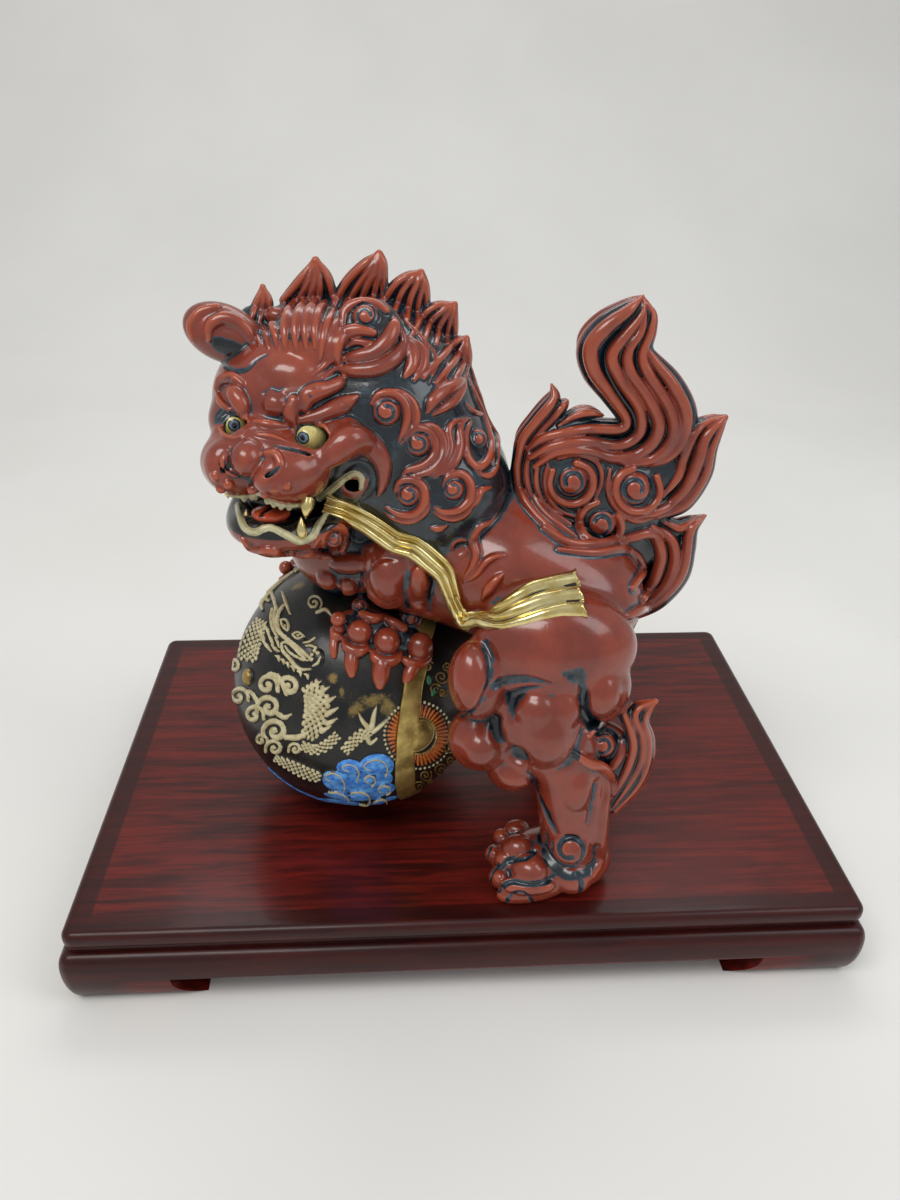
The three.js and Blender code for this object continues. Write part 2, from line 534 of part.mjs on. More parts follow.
for (const [name, direction, start, hand] of maneCurls) {
  const { at, normal } = onMane(direction);
  addPiece(`mane_curl_${name}`, redGlaze, curl(at, normal, { start, hand }));
}

// Gilt ribbon: out of the mouth, down past the shoulder and up over the flank
const ribbonShape = { side: [0.2, 0, 1], wide: 1, thick: RIBBON_THICKNESS / RIBBON_WIDTH, sides: 8 };
const half = RIBBON_WIDTH / 2;
addPiece('ribbon_upper', gilding, strand([[-78, -90, 243, half * 0.8], [-50, -100, 226, half], [-24, -104, 209, half], [-10, -106, 190, half * 0.9]], { ...ribbonShape, steps: 9 }));
addPiece('ribbon_lower', gilding, strand([[-9, -108, 184, half * 0.8], [2, -118, 171, half * 0.9], [24, -122, 184, half], [58, -118, 193, half * 1.15]], { ...ribbonShape, steps: 9 }));

export default part;
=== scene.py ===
"""A glazed ceramic guardian lion holding a relief ball, on a lacquered wooden stand."""

import math

import bmesh
import bpy
import numpy as np
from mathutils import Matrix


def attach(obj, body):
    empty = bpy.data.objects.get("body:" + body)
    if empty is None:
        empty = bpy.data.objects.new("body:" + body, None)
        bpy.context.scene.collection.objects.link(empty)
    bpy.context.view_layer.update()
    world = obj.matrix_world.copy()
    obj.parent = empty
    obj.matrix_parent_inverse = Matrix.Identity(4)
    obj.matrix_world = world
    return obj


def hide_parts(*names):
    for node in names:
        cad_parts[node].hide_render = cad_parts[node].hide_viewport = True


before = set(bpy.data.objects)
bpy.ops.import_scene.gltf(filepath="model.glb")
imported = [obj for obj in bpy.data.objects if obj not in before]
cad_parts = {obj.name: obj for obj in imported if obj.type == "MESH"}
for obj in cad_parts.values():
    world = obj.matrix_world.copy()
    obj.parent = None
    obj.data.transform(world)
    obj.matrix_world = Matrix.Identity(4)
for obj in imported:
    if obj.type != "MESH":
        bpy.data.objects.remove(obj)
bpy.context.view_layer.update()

import openvdb
from mathutils import Matrix, Vector

# Sizes in mm. The lion's places count from the middle of the stand's top face.
STAND_WIDTH = 489.0
STAND_DEPTH = 329.0
STAND_HEIGHT = 56.0
BALL_RADIUS = 83.0
BALL_MIDDLE = np.array([-67.0, -22.0, 81.0])
CELL = 0.8
FAR = 40.0
THINNEST_PATH = 0.3
THINNEST_STRAND = 0.35
FORM_MARGIN = 6.0
STATION_STEP = 10.0
# Lines of sight are searched from one depth to another, in steps
SIGHT_START = 330.0
SIGHT_END = 760.0
SIGHT_STEP = 0.8

# The camera that the photograph was taken with, in a picture of 900 by 1200 pixels
EYE_POINT = np.array([-42.63, -539.32, 441.86])
PITCH, ROLL, YAW = np.radians([-30.158, 1.114, 3.818])
FOCAL = 936.98
PICTURE_WIDTH = 900
PICTURE_HEIGHT = 1200

# Close views of the photograph that places are read in: left edge, top edge and enlargement
HEAD_VIEW = (185, 245, 4.978)
TAIL_VIEW = (370, 230, 4.0205)
LEG_VIEW = (430, 560, 4.3556)
BALL_VIEW = (220, 560, 6.032)
CHEST_VIEW = (260, 504, 7.881)


def unit(v):
    v = np.asarray(v, float)
    return v / np.linalg.norm(v)


def camera_axes():
    ahead = np.array([math.sin(YAW) * math.cos(PITCH), math.cos(YAW) * math.cos(PITCH), math.sin(PITCH)])
    level = np.array([math.cos(YAW), -math.sin(YAW), 0.0])
    above = np.cross(level, ahead)
    right = level * math.cos(ROLL) + above * math.sin(ROLL)
    up = above * math.cos(ROLL) - level * math.sin(ROLL)
    return right, up, ahead


RIGHT, UP, AHEAD = camera_axes()

# The head's own frame: X towards the nose, Y to the lion's left and Z up
HEAD_MIDDLE = np.array([-96.0, -42.0, 265.0])
HEAD_WAYS = ((-0.312, -0.935, 0.169), (0.946, -0.323, -0.038), (0.09, 0.148, 0.985))
HEAD_AXES = np.array([unit(way) for way in HEAD_WAYS])


def head_place(x, y, z):
    return HEAD_MIDDLE + np.array([x, y, z]) @ HEAD_AXES


def sight(view, x, y):
    """The way from the camera through a place in a close view, 1 mm deep."""
    left, top, zoom = view
    across = left + x / zoom - PICTURE_WIDTH / 2
    down = top + y / zoom - PICTURE_HEIGHT / 2
    return AHEAD + RIGHT * across / FOCAL - UP * down / FOCAL


def grain(view, point):
    """Millimetres to one pixel of a close view, at a point."""
    return (np.asarray(point) - EYE_POINT) @ AHEAD / (FOCAL * view[2])


def on_plane(view, x, y, depth_y):
    """Where the line of sight meets the upright plane at depth_y."""
    way = sight(view, x, y)
    return EYE_POINT + way * (depth_y - EYE_POINT[1]) / way[1]


def ball_way(view, place, middle, radius):
    """The way from a ball's middle to where a line of sight meets the ball, or passes nearest to it."""
    way = sight(view, *place)
    start = EYE_POINT - middle
    a, b, c = way @ way, way @ start, start @ start - radius**2
    t = (-b - math.sqrt(max(b * b - a * c, 0.0))) / a
    return unit(start + way * t)


def smoothed(points, rounds):
    """Points, with those between the ends drawn towards their neighbours."""
    points = np.array(points)
    for _ in range(rounds):
        points[1:-1] = (points[:-2] + 2 * points[1:-1] + points[2:]) / 4
    return points


def smooth_path(stations, step=1.5):
    """A Catmull-Rom curve through the stations, in short steps. Columns after the third follow along."""
    p = np.asarray(stations, float)
    if len(p) == 1:
        return p
    padded = np.vstack([2 * p[0] - p[1], p, 2 * p[-1] - p[-2]])
    out = []
    for i in range(1, len(padded) - 2):
        a, b, c, d = padded[i - 1:i + 3]
        count = max(1, int(math.ceil(np.linalg.norm((c - b)[:3]) / step)))
        t = (np.arange(count) / count)[:, None]
        out.append(0.5 * (2 * b + (c - a) * t + (2 * a - 5 * b + 4 * c - d) * t**2
                          + (3 * b - a - 3 * c + d) * t**3))
    out.append(p[-1:])
    path = np.vstack(out)
    if path.shape[1] > 3:
        path[:, 3] = np.maximum(path[:, 3], THINNEST_PATH)
    return path


def soft_min(a, b, blend):
    if blend <= 0:
        return np.minimum(a, b)
    h = np.maximum(blend - np.abs(a - b), 0) / blend
    return np.minimum(a, b) - h * h * blend / 4


LATTICE_LOW = np.array([-178.0, -162.0, -4.0])
LATTICE_HIGH = np.array([158.0, 66.0, 364.0])


class Clay:
    """A block of clay on the shared lattice: at each point, the distance to its surface."""

    made = []

    def __init__(self, low, high):
        self.first = np.floor((np.asarray(low, float) - LATTICE_LOW) / CELL).astype(int)
        last = np.ceil((np.asarray(high, float) - LATTICE_LOW) / CELL).astype(int)
        self.first = np.maximum(self.first, 0)
        last = np.minimum(last, np.ceil((LATTICE_HIGH - LATTICE_LOW) / CELL).astype(int))
        self.count = last - self.first + 1
        self.low = LATTICE_LOW + self.first * CELL
        self.high = self.low + CELL * (self.count - 1)
        self.field = np.full(self.count, FAR, np.float32)
        self.ground = None
        Clay.made.append(self)

    def window(self, low, high):
        a = np.floor((np.asarray(low) - self.low) / CELL).astype(int)
        b = np.ceil((np.asarray(high) - self.low) / CELL).astype(int) + 1
        return np.clip(a, 0, self.count), np.clip(b, 0, self.count)

    def grid(self, a, b):
        lines = [(self.low[i] + CELL * np.arange(a[i], b[i])).astype(np.float32) for i in range(3)]
        return lines[0][:, None, None], lines[1][None, :, None], lines[2][None, None, :]

    def merge(self, a, b, near, blend, carve):
        at = tuple(slice(i, j) for i, j in zip(a, b))
        if carve:
            self.field[at] = -soft_min(-self.field[at], near, blend)
        else:
            self.field[at] = soft_min(self.field[at], near, blend)

    def ellipsoid(self, at, radii, axes=None, blend=4.0, carve=False):
        at = np.asarray(at, float)
        radii = np.asarray(radii, float)
        axes = np.eye(3) if axes is None else np.asarray(axes, float)
        reach = np.sqrt(axes.T**2 @ radii**2) + blend + FORM_MARGIN
        a, b = self.window(at - reach, at + reach)
        if np.any(b <= a):
            return
        x, y, z = self.grid(a, b)
        x, y, z = x - at[0], y - at[1], z - at[2]
        k0 = 0
        k1 = 0
        for way, r in zip(axes, radii):
            along = x * np.float32(way[0]) + y * np.float32(way[1]) + z * np.float32(way[2])
            k0 = k0 + (along / r)**2
            k1 = k1 + (along / r**2)**2
        k0 = np.sqrt(k0)
        near = k0 * (k0 - 1) / np.maximum(np.sqrt(k1), 1e-6)
        near = np.maximum(near, -radii.min())
        self.merge(a, b, near.astype(np.float32), blend, carve)

    def rope(self, path, blend=1.0, carve=False, margin=4.0):
        """A strand along a path of short steps; its fourth column is the radius."""
        path = np.asarray(path, float)
        reach = path[:, 3:4] + blend + margin
        a, b = self.window((path[:, :3] - reach).min(0), (path[:, :3] + reach).max(0))
        if np.any(b <= a):
            return
        near = np.full(b - a, FAR, np.float32)
        for p, q in zip(path[:-1], path[1:]):
            wide = max(p[3], q[3]) + blend + margin
            c, d = self.window(np.minimum(p[:3], q[:3]) - wide, np.maximum(p[:3], q[:3]) + wide)
            c, d = np.clip(c, a, b), np.clip(d, a, b)
            if np.any(d <= c):
                continue
            x, y, z = self.grid(c, d)
            x, y, z = x - np.float32(p[0]), y - np.float32(p[1]), z - np.float32(p[2])
            way = (q - p).astype(np.float32)
            length = max(float(way[:3] @ way[:3]), 1e-9)
            t = np.clip((x * way[0] + y * way[1] + z * way[2]) / length, 0, 1)
            gap = np.sqrt((x - t * way[0])**2 + (y - t * way[1])**2 + (z - t * way[2])**2)
            gap -= np.float32(p[3]) + t * way[3]
            at = tuple(slice(i, j) for i, j in zip(c - a, d - a))
            np.minimum(near[at], gap, out=near[at])
        self.merge(a, b, near, blend, carve)

    def keep_ground(self):
        """Remembers the plain form, which strands and bumps are then laid on."""
        self.ground = self.field.copy()

    def sample(self, points, field=None):
        field = self.field if field is None else field
        g = (np.asarray(points, float) - self.low) / CELL
        inside = np.all((g >= 0) & (g <= self.count - 1), axis=1)
        g = np.clip(g, 0, self.count - 1.001)
        i = g.astype(int)
        f = (g - i).astype(np.float32)
        total = np.zeros(len(g), np.float32)
        for corner in np.ndindex(2, 2, 2):
            weight = np.ones(len(g), np.float32)
            for axis in range(3):
                weight *= f[:, axis] if corner[axis] else 1 - f[:, axis]
            total += weight * field[i[:, 0] + corner[0], i[:, 1] + corner[1], i[:, 2] + corner[2]]
        return np.where(inside, total, FAR)

    def slope(self, points, field=None):
        points = np.asarray(points, float)
        ways = []
        for axis in CELL * np.eye(3):
            ways.append(self.sample(points + axis, field) - self.sample(points - axis, field))
        n = np.stack(ways, axis=1)
        return n / np.maximum(np.linalg.norm(n, axis=1, keepdims=True), 1e-6)

    def cast(self, view, places):
        """Where lines of sight through places in a view meet the plain form, or the form beside them."""
        depths = np.arange(SIGHT_START, SIGHT_END, SIGHT_STEP)
        out = []
        missed = []
        for x, y in places:
            line = EYE_POINT + depths[:, None] * sight(view, x, y)
            d = self.sample(line, self.ground)
            hit = np.nonzero(d < 0)[0]
            i = hit[0] if len(hit) else int(np.argmin(d))
            t = depths[i]
            if len(hit) and i > 0 and d[i - 1] < FAR:
                t -= SIGHT_STEP * d[i] / (d[i] - d[i - 1])
            out.append(EYE_POINT + t * sight(view, x, y))
            missed.append(not len(hit))
        out = np.array(out)
        if any(missed):
            out[missed] = self.seat(out[missed])
        return out

    def seat(self, points, lift=0.0):
        """Moves points straight in or out, to stand lift above the plain form."""
        points = np.array(points, float)
        for _ in range(5):
            away = self.sample(points, self.ground) - lift
            points -= self.slope(points, self.ground) * np.clip(away, -6, 6)[:, None]
        return points


def trace(clay, view, stations, lift=0.1):
    """A strand's path over the plain form, from stations of x, y and half width in a close view."""
    flat = smooth_path(stations, STATION_STEP)
    points = smoothed(clay.cast(view, flat[:, :2]), 2)
    radius = np.array([grain(view, p) for p in points]) * flat[:, 2]
    normal = clay.slope(points, clay.ground)
    points += normal * (radius * lift)[:, None]
    return np.column_stack([points, np.maximum(radius, THINNEST_STRAND)])


def whorl(x, y, size, turns=1.5, start=0.0, hand=1, thick=0.26, inner=0.12):
    """Stations of a spiral in a close view, from its eye outwards to the angle start, in radians."""
    t = np.linspace(0.0, 1.0, int(10 * turns) + 2)
    angle = start - hand * (1 - t) * turns * 2 * math.pi
    reach = size * (inner + (1 - inner) * t)
    width = size * thick * np.clip(1.15 - 0.35 * t, 0, 1)
    return [(x + r * math.cos(a), y - r * math.sin(a), w) for r, a, w in zip(reach, angle, width)]


def lay(clay, ground, view, stations, lift=0.1, blend=0.8):
    """Lays a strand into clay, along a path traced over the plain form of ground."""
    path = trace(ground, view, stations, lift)
    clay.rope(path, blend)
    return path


def lump(ground, view, place, size, turn=0.0, proud=3.0, deep=None):
    """Middle, radii and axes of a rounded lump: half sizes in view pixels, standing proud by some mm."""
    point = ground.cast(view, [place])[0]
    normal = ground.slope(point[None], ground.ground)[0]
    scale = grain(view, point)
    turn = math.radians(turn)
    across = RIGHT * math.cos(turn) + UP * math.sin(turn)
    across = unit(across - normal * (across @ normal))
    upward = np.cross(normal, across)
    wide, tall = size[0] * scale, size[1] * scale
    deep = deep or min(wide, tall)
    return point + normal * (proud - deep), (wide, tall, deep), np.array([across, upward, normal])


# Paths of the grooves, which are glazed dark
scores = []


def engrave(path, blend, *owners):
    """Cuts a groove along a path."""
    scores.append(path)
    for owner in owners:
        owner.rope(path, blend, carve=True)


def scroll(ground, view, x, y, size, start, hand, turns=1.15, proud=0.7):
    """The form of a rounded knob, and the path of a spiral scored into it."""
    spot = ground.cast(view, [(x, y)])[0]
    knob = lump(ground, view, (x, y), (size, size), 0, proud * size * grain(view, spot))
    around = 1.2 * knob[1][0] + 4
    form = Clay(knob[0] - around, knob[0] + around)
    form.ellipsoid(*knob, 0)
    form.keep_ground()
    line = whorl(x, y, size * 0.88, turns, math.radians(start), hand, 0.15, 0.46)
    return knob, trace(form, view, line, 0.1)


def add_scroll(owner, knob, groove):
    owner.ellipsoid(*knob, 0.6)
    engrave(groove, 0.5, owner)


def view_axes(turn):
    """Axes that lie flat to the camera, turned in the picture."""
    c, s = math.cos(math.radians(turn)), math.sin(math.radians(turn))
    return np.array([RIGHT * c + UP * s, UP * c - RIGHT * s, -AHEAD])


def ground_of(low, high, *clays):
    """A block whose plain form is that of several pieces together."""
    base = Clay(low, high)
    for clay in clays:
        first = np.maximum(base.first, clay.first)
        last = np.minimum(base.first + base.count, clay.first + clay.count)
        here = tuple(slice(a, b) for a, b in zip(first - base.first, last - base.first))
        there = tuple(slice(a, b) for a, b in zip(first - clay.first, last - clay.first))
        base.field[here] = np.minimum(base.field[here], clay.ground[there])
    base.keep_ground()
    return base


def sheet(owner, view, depth, strands, fill=1.3, slim=0.72, lift=0.1, over=None):
    """Lays strands on both faces of a flat core on the upright plane at depth, and on the piece over, where
    that stands before the core. Returns the paths of core and strands."""
    cores = []
    for stations in strands:
        flat = smooth_path(stations, STATION_STEP)
        spot = np.array([on_plane(view, x, y, depth) for x, y, _ in flat])
        cores.append(np.column_stack([spot, flat[:, 2] * grain(view, spot[0]) * fill]))
        owner.rope(cores[-1], 2.5)
    owner.keep_ground()
    ground = ground_of(owner.low, owner.high, owner, over) if over else owner
    laid = []
    for stations in strands:
        laid += two_faced(owner, ground, view, depth, [(x, y, w * slim) for x, y, w in stations], lift)
    return cores, laid


FAR_FACE_REACH = 16.0


def two_faced(clay, ground, view, depth, stations, lift=0.1, blend=0.6):
    """A strand on the near face of a flat form and its image on the far face."""
    near = lay(clay, ground, view, stations, lift, blend)
    far = near.copy()
    far[:, 1] = 2 * depth - np.maximum(near[:, 1], depth - FAR_FACE_REACH)
    clay.rope(far, blend)
    return near, far


# The lion's pieces, in the order they are joined: name, clay, softness of the joint and CAD node
pieces = []


def piece(name, low, high, join, node=None):
    """A block of clay for a piece, which takes the place of the CAD node of that name, or of node."""
    clay = Clay(low, high)
    pieces.append({"name": f"lion_{name}", "clay": clay, "join": join, "node": node or name})
    return clay


def turned(forms, origin, axes):
    """Local points and radii (x, y, z, ...) put into the lion's frame."""
    forms = np.array(forms, float)
    forms[:, :3] = np.asarray(origin) + forms[:, :3] @ np.asarray(axes)
    return forms


def carried(points, start, end):
    """Points, with or without radii, taken from one frame (origin and axes) to another."""
    points = np.array(points, float)
    points[..., :3] = end[0] + (points[..., :3] - start[0]) @ start[1].T @ end[1]
    return points


def carried_form(form, start, end):
    at, radii, axes = form
    return carried(at, start, end), radii, axes @ start[1].T @ end[1]


def on_both(owner, frames, thing, blend, carve=False):
    """Adds a strand's path, or a lump, to the left piece of a pair, and its image to the right one."""
    if isinstance(thing, tuple):
        owner["left"].ellipsoid(*thing, blend, carve)
        owner["right"].ellipsoid(*carried_form(thing, *frames.values()), blend, carve)
        return
    for side, path in (("left", thing), ("right", carried(thing, *frames.values()))):
        if carve:
            engrave(path, blend, owner[side])
        else:
            owner[side].rope(path, blend)


# Body
BODY_FORMS = (
    ((-20, -30, 188), (50, 52, 46), 16), ((22, -46, 180), (49, 51, 45), 16),
    ((58, -58, 166), (46, 48, 42), 16), ((-62, -22, 184), (45, 38, 36), 8),
    ((30, -38, 212), (22, 22, 20), 8),
)
body = piece("body", (-128, -130, 90), (128, 48, 262), 0, "body_casting")
for at, radii, blend in BODY_FORMS:
    body.ellipsoid(at, radii, blend=blend)
body.keep_ground()

# Hind legs, in a frame with X towards the toes, Y outwards and Z up from the middle of the paw
LEG_FRAMES = {
    "left": (np.array([48.0, -122.0, 0.0]), np.array([[-1.0, 0, 0], [0, -1.0, 0], [0, 0, 1]])),
    "right": (np.array([64.0, 8.0, 0.0]), np.array([[-0.94, 0.342, 0], [0.342, 0.94, 0], [0, 0, 1]])),
}
LEG_MUSCLES = (
    ((4, -12, 160), (46, 27, 34), 10), ((46, -4, 146), (17, 19, 24), 3),
    ((10, -2, 116), (27, 22, 36), 4), ((42, -6, 104), (20, 18, 20), 3), ((24, -4, 86), (16, 15, 17), 3),
    ((-22, -6, 138), (18, 18, 22), 3),
)
LEG_SHANK = [(-2, 0, 110, 20), (-11, 0, 72, 21.5), (-15, 0, 42, 21), (-15, 0, 16, 18)]
PAW_FORMS = (((-8, 0, 14), (32, 24, 17), 2), ((12, 0, 10), (22, 24, 13), 3))
LEG_LOW = (-75, -55, -2)
LEG_HIGH = (75, 55, 204)
PAW_HIGH = (75, 55, 74)
legs = {}
paws = {}
tufts = {}
for side, (origin, axes) in LEG_FRAMES.items():
    low, high = origin + LEG_LOW, origin + LEG_HIGH
    legs[side] = piece(f"hind_leg_{side}", low, high, 7)
    for at, radii, blend in LEG_MUSCLES:
        legs[side].ellipsoid(origin + np.array(at) @ axes, radii, axes, blend)
    legs[side].rope(smooth_path(turned(LEG_SHANK, origin, axes)), 4)
    legs[side].keep_ground()
    paws[side] = piece(f"hind_paw_{side}", low, origin + PAW_HIGH, 1.5)
    for at, radii, blend in PAW_FORMS:
        paws[side].ellipsoid(origin + np.array(at) @ axes, radii, axes, blend)
    paws[side].keep_ground()
    tufts[side] = piece(f"hind_tuft_{side}", low, high, 1.0)

# What the photograph shows on the near hind leg, repeated on the far one
near_leg = ground_of(legs["left"].low, legs["left"].high, body, legs["left"], paws["left"])
LEG_BUMPS = (
    ((460, 655), (112, 108), 4.5), ((598, 640), (92, 120), 5.0), ((525, 800), (132, 165), 4.5),
    ((165, 520), (92, 150), 6.0), ((215, 835), (88, 92), 4.5), ((745, 590), (92, 118), 5.5),
    ((650, 1020), (72, 120), 3.5), ((330, 620), (48, 80), 3.0), ((385, 955), (90, 62), 3.0),
)
TENDON = [(648, 838, 14), (700, 872, 24), (752, 920, 28), (768, 990, 32), (760, 1080, 34),
          (752, 1190, 34), (745, 1290, 30), (705, 1370, 24)]
LEG_GROOVES = {
    "heart_edge": [(222, 650, 12), (250, 582, 24), (310, 535, 25), (420, 522, 20), (520, 545, 8)],
    "heart_inside": [(356, 690, 8), (358, 622, 22), (400, 572, 20), (490, 556, 7)],
    "knob_edge": [(240, 360, 14), (262, 450, 20), (262, 555, 24), (215, 645, 24), (140, 672, 14)],
    "right_edge": [(590, 500, 12), (645, 505, 20), (668, 560, 16), (676, 620, 16), (684, 690, 22),
                   (735, 735, 24)],
    "plate_edge": [(668, 740, 12), (640, 830, 18), (605, 885, 18), (555, 915, 9)],
    "knee": [(296, 690, 16), (292, 760, 19), (325, 805, 12)],
    "knee_edge": [(415, 905, 10), (440, 950, 14), (462, 985, 12)],
    "slit": [(722, 985, 18), (712, 1050, 15), (690, 1150, 8)],
    "shin_edge": [(455, 985, 14), (485, 1060, 24), (515, 1130, 22), (545, 1185, 10)],
    "curl_edge": [(505, 1195, 10), (508, 1290, 17), (590, 1372, 18), (700, 1345, 15), (722, 1250, 8)],
}
for place, size, proud in LEG_BUMPS:
    on_both(legs, LEG_FRAMES, lump(near_leg, LEG_VIEW, place, size, proud=proud), 2.5)
on_both(legs, LEG_FRAMES, trace(near_leg, LEG_VIEW, TENDON, -0.35), 1.5)
legs["left"].keep_ground()
near_leg = ground_of(near_leg.low, near_leg.high, body, legs["left"], paws["left"])
for path in LEG_GROOVES.values():
    on_both(legs, LEG_FRAMES, trace(near_leg, LEG_VIEW, path, 0.45), 3.0, carve=True)
knee_hole = lump(near_leg, LEG_VIEW, (375, 865), (50, 54), proud=1.2, deep=4.5)
on_both(legs, LEG_FRAMES, knee_hole, 6, carve=True)
knob, groove = scroll(near_leg, LEG_VIEW, 608, 1262, 92, 160, -1, 1.35, 0.6)
on_both(legs, LEG_FRAMES, knob, 0.8)
on_both(legs, LEG_FRAMES, groove, 0.5, carve=True)

PAW_BUMPS = (
    ((480, 1458), (185, 66), 0, 4.0), ((290, 1392), (52, 92), 8, 5.0), ((262, 1278), (44, 72), 8, 4.5),
    ((432, 1352), (84, 74), 0, 8.5), ((378, 1255), (72, 64), 0, 8.5), ((376, 1170), (58, 48), 0, 7.5),
    ((312, 1205), (40, 48), 0, 6.0), ((330, 1300), (56, 56), 0, 6.0), ((640, 1410), (95, 82), 0, 3.5),
    ((425, 1415), (120, 44), 0, 6.5),
)
PAW_GROOVES = {
    "nail_a": [(335, 1490, 6), (352, 1458, 9), (392, 1446, 9), (430, 1465, 9), (448, 1492, 6)],
    "nail_b": [(262, 1410, 6), (272, 1360, 12), (300, 1330, 9)],
    "nail_c": [(248, 1300, 5), (258, 1262, 10), (278, 1240, 6)],
    "toe_edge": [(300, 1440, 8), (350, 1400, 14), (420, 1412, 10), (500, 1405, 13), (540, 1370, 9)],
    "toe_gap": [(312, 1340, 8), (340, 1312, 14), (420, 1300, 12), (460, 1270, 8)],
    "heel": [(640, 1365, 6), (662, 1415, 13), (645, 1475, 6)],
}
for place, size, turn_by, proud in PAW_BUMPS:
    on_both(paws, LEG_FRAMES, lump(paws["left"], LEG_VIEW, place, size, turn_by, proud), 1.0)
paws["left"].keep_ground()
for path in PAW_GROOVES.values():
    on_both(paws, LEG_FRAMES, trace(paws["left"], LEG_VIEW, path, 0.25), 1.0, carve=True)

TUFT_Y = -126.0
TUFT = (
    [(770, 1060, 14), (832, 965, 24), (872, 880, 27), (888, 800, 26), (868, 715, 24), (845, 660, 16),
     (878, 622, 5)],
    [(790, 1085, 12), (872, 965, 22), (922, 868, 26), (926, 765, 25), (893, 692, 23), (912, 645, 16),
     (985, 612, 4)],
    [(805, 1095, 10), (902, 985, 19), (946, 885, 22), (952, 785, 21), (930, 712, 19), (945, 665, 14),
     (988, 616, 4)],
)
TUFT_ROOTS = (((745, 808), (11.5, 8, 11.5)), ((805, 900), (10, 7, 20)))
for place, radii in TUFT_ROOTS:
    on_both(tufts, LEG_FRAMES, (on_plane(LEG_VIEW, *place, TUFT_Y + 4), radii, np.eye(3)), 2)
cores, strands = sheet(tufts["left"], LEG_VIEW, TUFT_Y, TUFT)
for core in cores:
    tufts["right"].rope(carried(core, *LEG_FRAMES.values()), 2.5)
tufts["right"].keep_ground()
for strand in strands:
    tufts["right"].rope(carried(strand, *LEG_FRAMES.values()), 0.6)
curl_ground = ground_of(near_leg.low, near_leg.high, near_leg, tufts["left"])
knob, groove = scroll(curl_ground, LEG_VIEW, 752, 806, 60, 60, -1, 1.2, 0.6)
on_both(tufts, LEG_FRAMES, knob, 0.6)
on_both(tufts, LEG_FRAMES, groove, 0.5, carve=True)
TUFT_RINGS = (
    [(690, 770, 10), (712, 735, 18), (770, 722, 22), (822, 760, 24), (830, 830, 24), (800, 890, 22)],
    [(625, 835, 10), (660, 862, 20), (700, 885, 24), (745, 900, 24), (782, 945, 22), (800, 1010, 16)],
)
for ring in TUFT_RINGS:
    on_both(tufts, LEG_FRAMES, trace(curl_ground, LEG_VIEW, ring, 0.3), 0.6)

# Forelegs; the far paw is the near one, turned over about the middle of the ball
ARMS = {
    "left": [(-22, -58, 206, 27), (-36, -64, 193, 24), (-46, -66, 178, 15)],
    "right": [(-62, 4, 206, 27), (-90, 18, 186, 24), (-96, 32, 154, 17)],
}
PAW_WAY = {"left": (0.15, -0.5, 0.85), "right": (-0.34, 0.6, 0.72)}
PAW_SPREAD = {"left": (0.93, -0.19, -0.3), "right": (-0.6, -0.75, 0.3)}


def paw_frame(side):
    """The ball's middle, and ways across the paw, along it and out of the ball."""
    out = unit(PAW_WAY[side])
    across = np.asarray(PAW_SPREAD[side])
    across = unit(across - out * (across @ out))
    along = np.cross(out, across)
    return BALL_MIDDLE, np.array([across if side == "left" else -across, along, out])


HAND_FRAMES = {side: paw_frame(side) for side in ("left", "right")}
arms = {}
hands = {}
for side in ("left", "right"):
    path = smooth_path(ARMS[side])
    low, high = path[:, :3].min(0) - 36, path[:, :3].max(0) + 36
    arms[side] = piece(f"fore_leg_{side}", low, high, 5)
    arms[side].rope(path, 3)
    arms[side].keep_ground()
    middle, axes = HAND_FRAMES[side]
    palm = middle + axes[2] * (BALL_RADIUS + 2)
    hands[side] = piece(f"fore_paw_{side}", palm - 52, palm + 52, 1.0)
ARM_BUMPS = (((985, 130), (118, 165)), ((1200, 130), (62, 120)))
for place, size in ARM_BUMPS:
    arms["left"].ellipsoid(*lump(arms["left"], BALL_VIEW, place, size, 0, 5.0), 1.5)
arms["left"].keep_ground()
CHEST_LOW, CHEST_HIGH = (-128, -120, 140), (40, 40, 240)
chest = ground_of(CHEST_LOW, CHEST_HIGH, body, arms["left"])
CHEST_BUMPS = (
    ((720, 470), (190, 88), 8, 5.0), ((530, 600), (104, 104), 0, 5.0), ((695, 650), (92, 98), 0, 5.0),
    ((1250, 790), (62, 50), 0, 3.0), ((800, 250), (80, 45), 0, 3.0),
)
for place, size, turn_by, proud in CHEST_BUMPS:
    body.ellipsoid(*lump(chest, CHEST_VIEW, place, size, turn_by, proud), 1.0)
body.keep_ground()
chest = ground_of(CHEST_LOW, CHEST_HIGH, body, arms["left"])
CHEST_GROOVES = (
    [(905, 470, 12), (835, 545, 18), (822, 640, 20), (850, 740, 20), (930, 812, 14)],
    [(900, 470, 12), (985, 425, 16), (1080, 425, 18), (1130, 470, 16)],
    [(1132, 420, 16), (1158, 540, 24), (1142, 690, 26), (1166, 820, 18)],
    [(1345, 470, 14), (1362, 600, 20), (1342, 740, 24), (1328, 860, 22)],
    [(560, 520, 12), (615, 585, 18), (630, 680, 16), (640, 740, 12)],
    [(600, 560, 12), (720, 572, 18), (820, 540, 16)],
)
for stations in CHEST_GROOVES:
    engrave(trace(chest, CHEST_VIEW, stations, 0.45), 2.5, body, arms["left"])
FAR_ARM_BUMPS = ((-98, 32, 182, 15), (-80, 30, 196, 15), (-100, 20, 168, 13))
for x, y, z, r in FAR_ARM_BUMPS:
    arms["right"].ellipsoid((x, y, z), (r, r, r * 1.15), blend=1.5)
BALL_REACH = BALL_RADIUS + 12
ball_ground = Clay(BALL_MIDDLE - BALL_REACH, BALL_MIDDLE + BALL_REACH)
ball_ground.ellipsoid(BALL_MIDDLE, (BALL_RADIUS,) * 3, blend=0)
ball_ground.keep_ground()
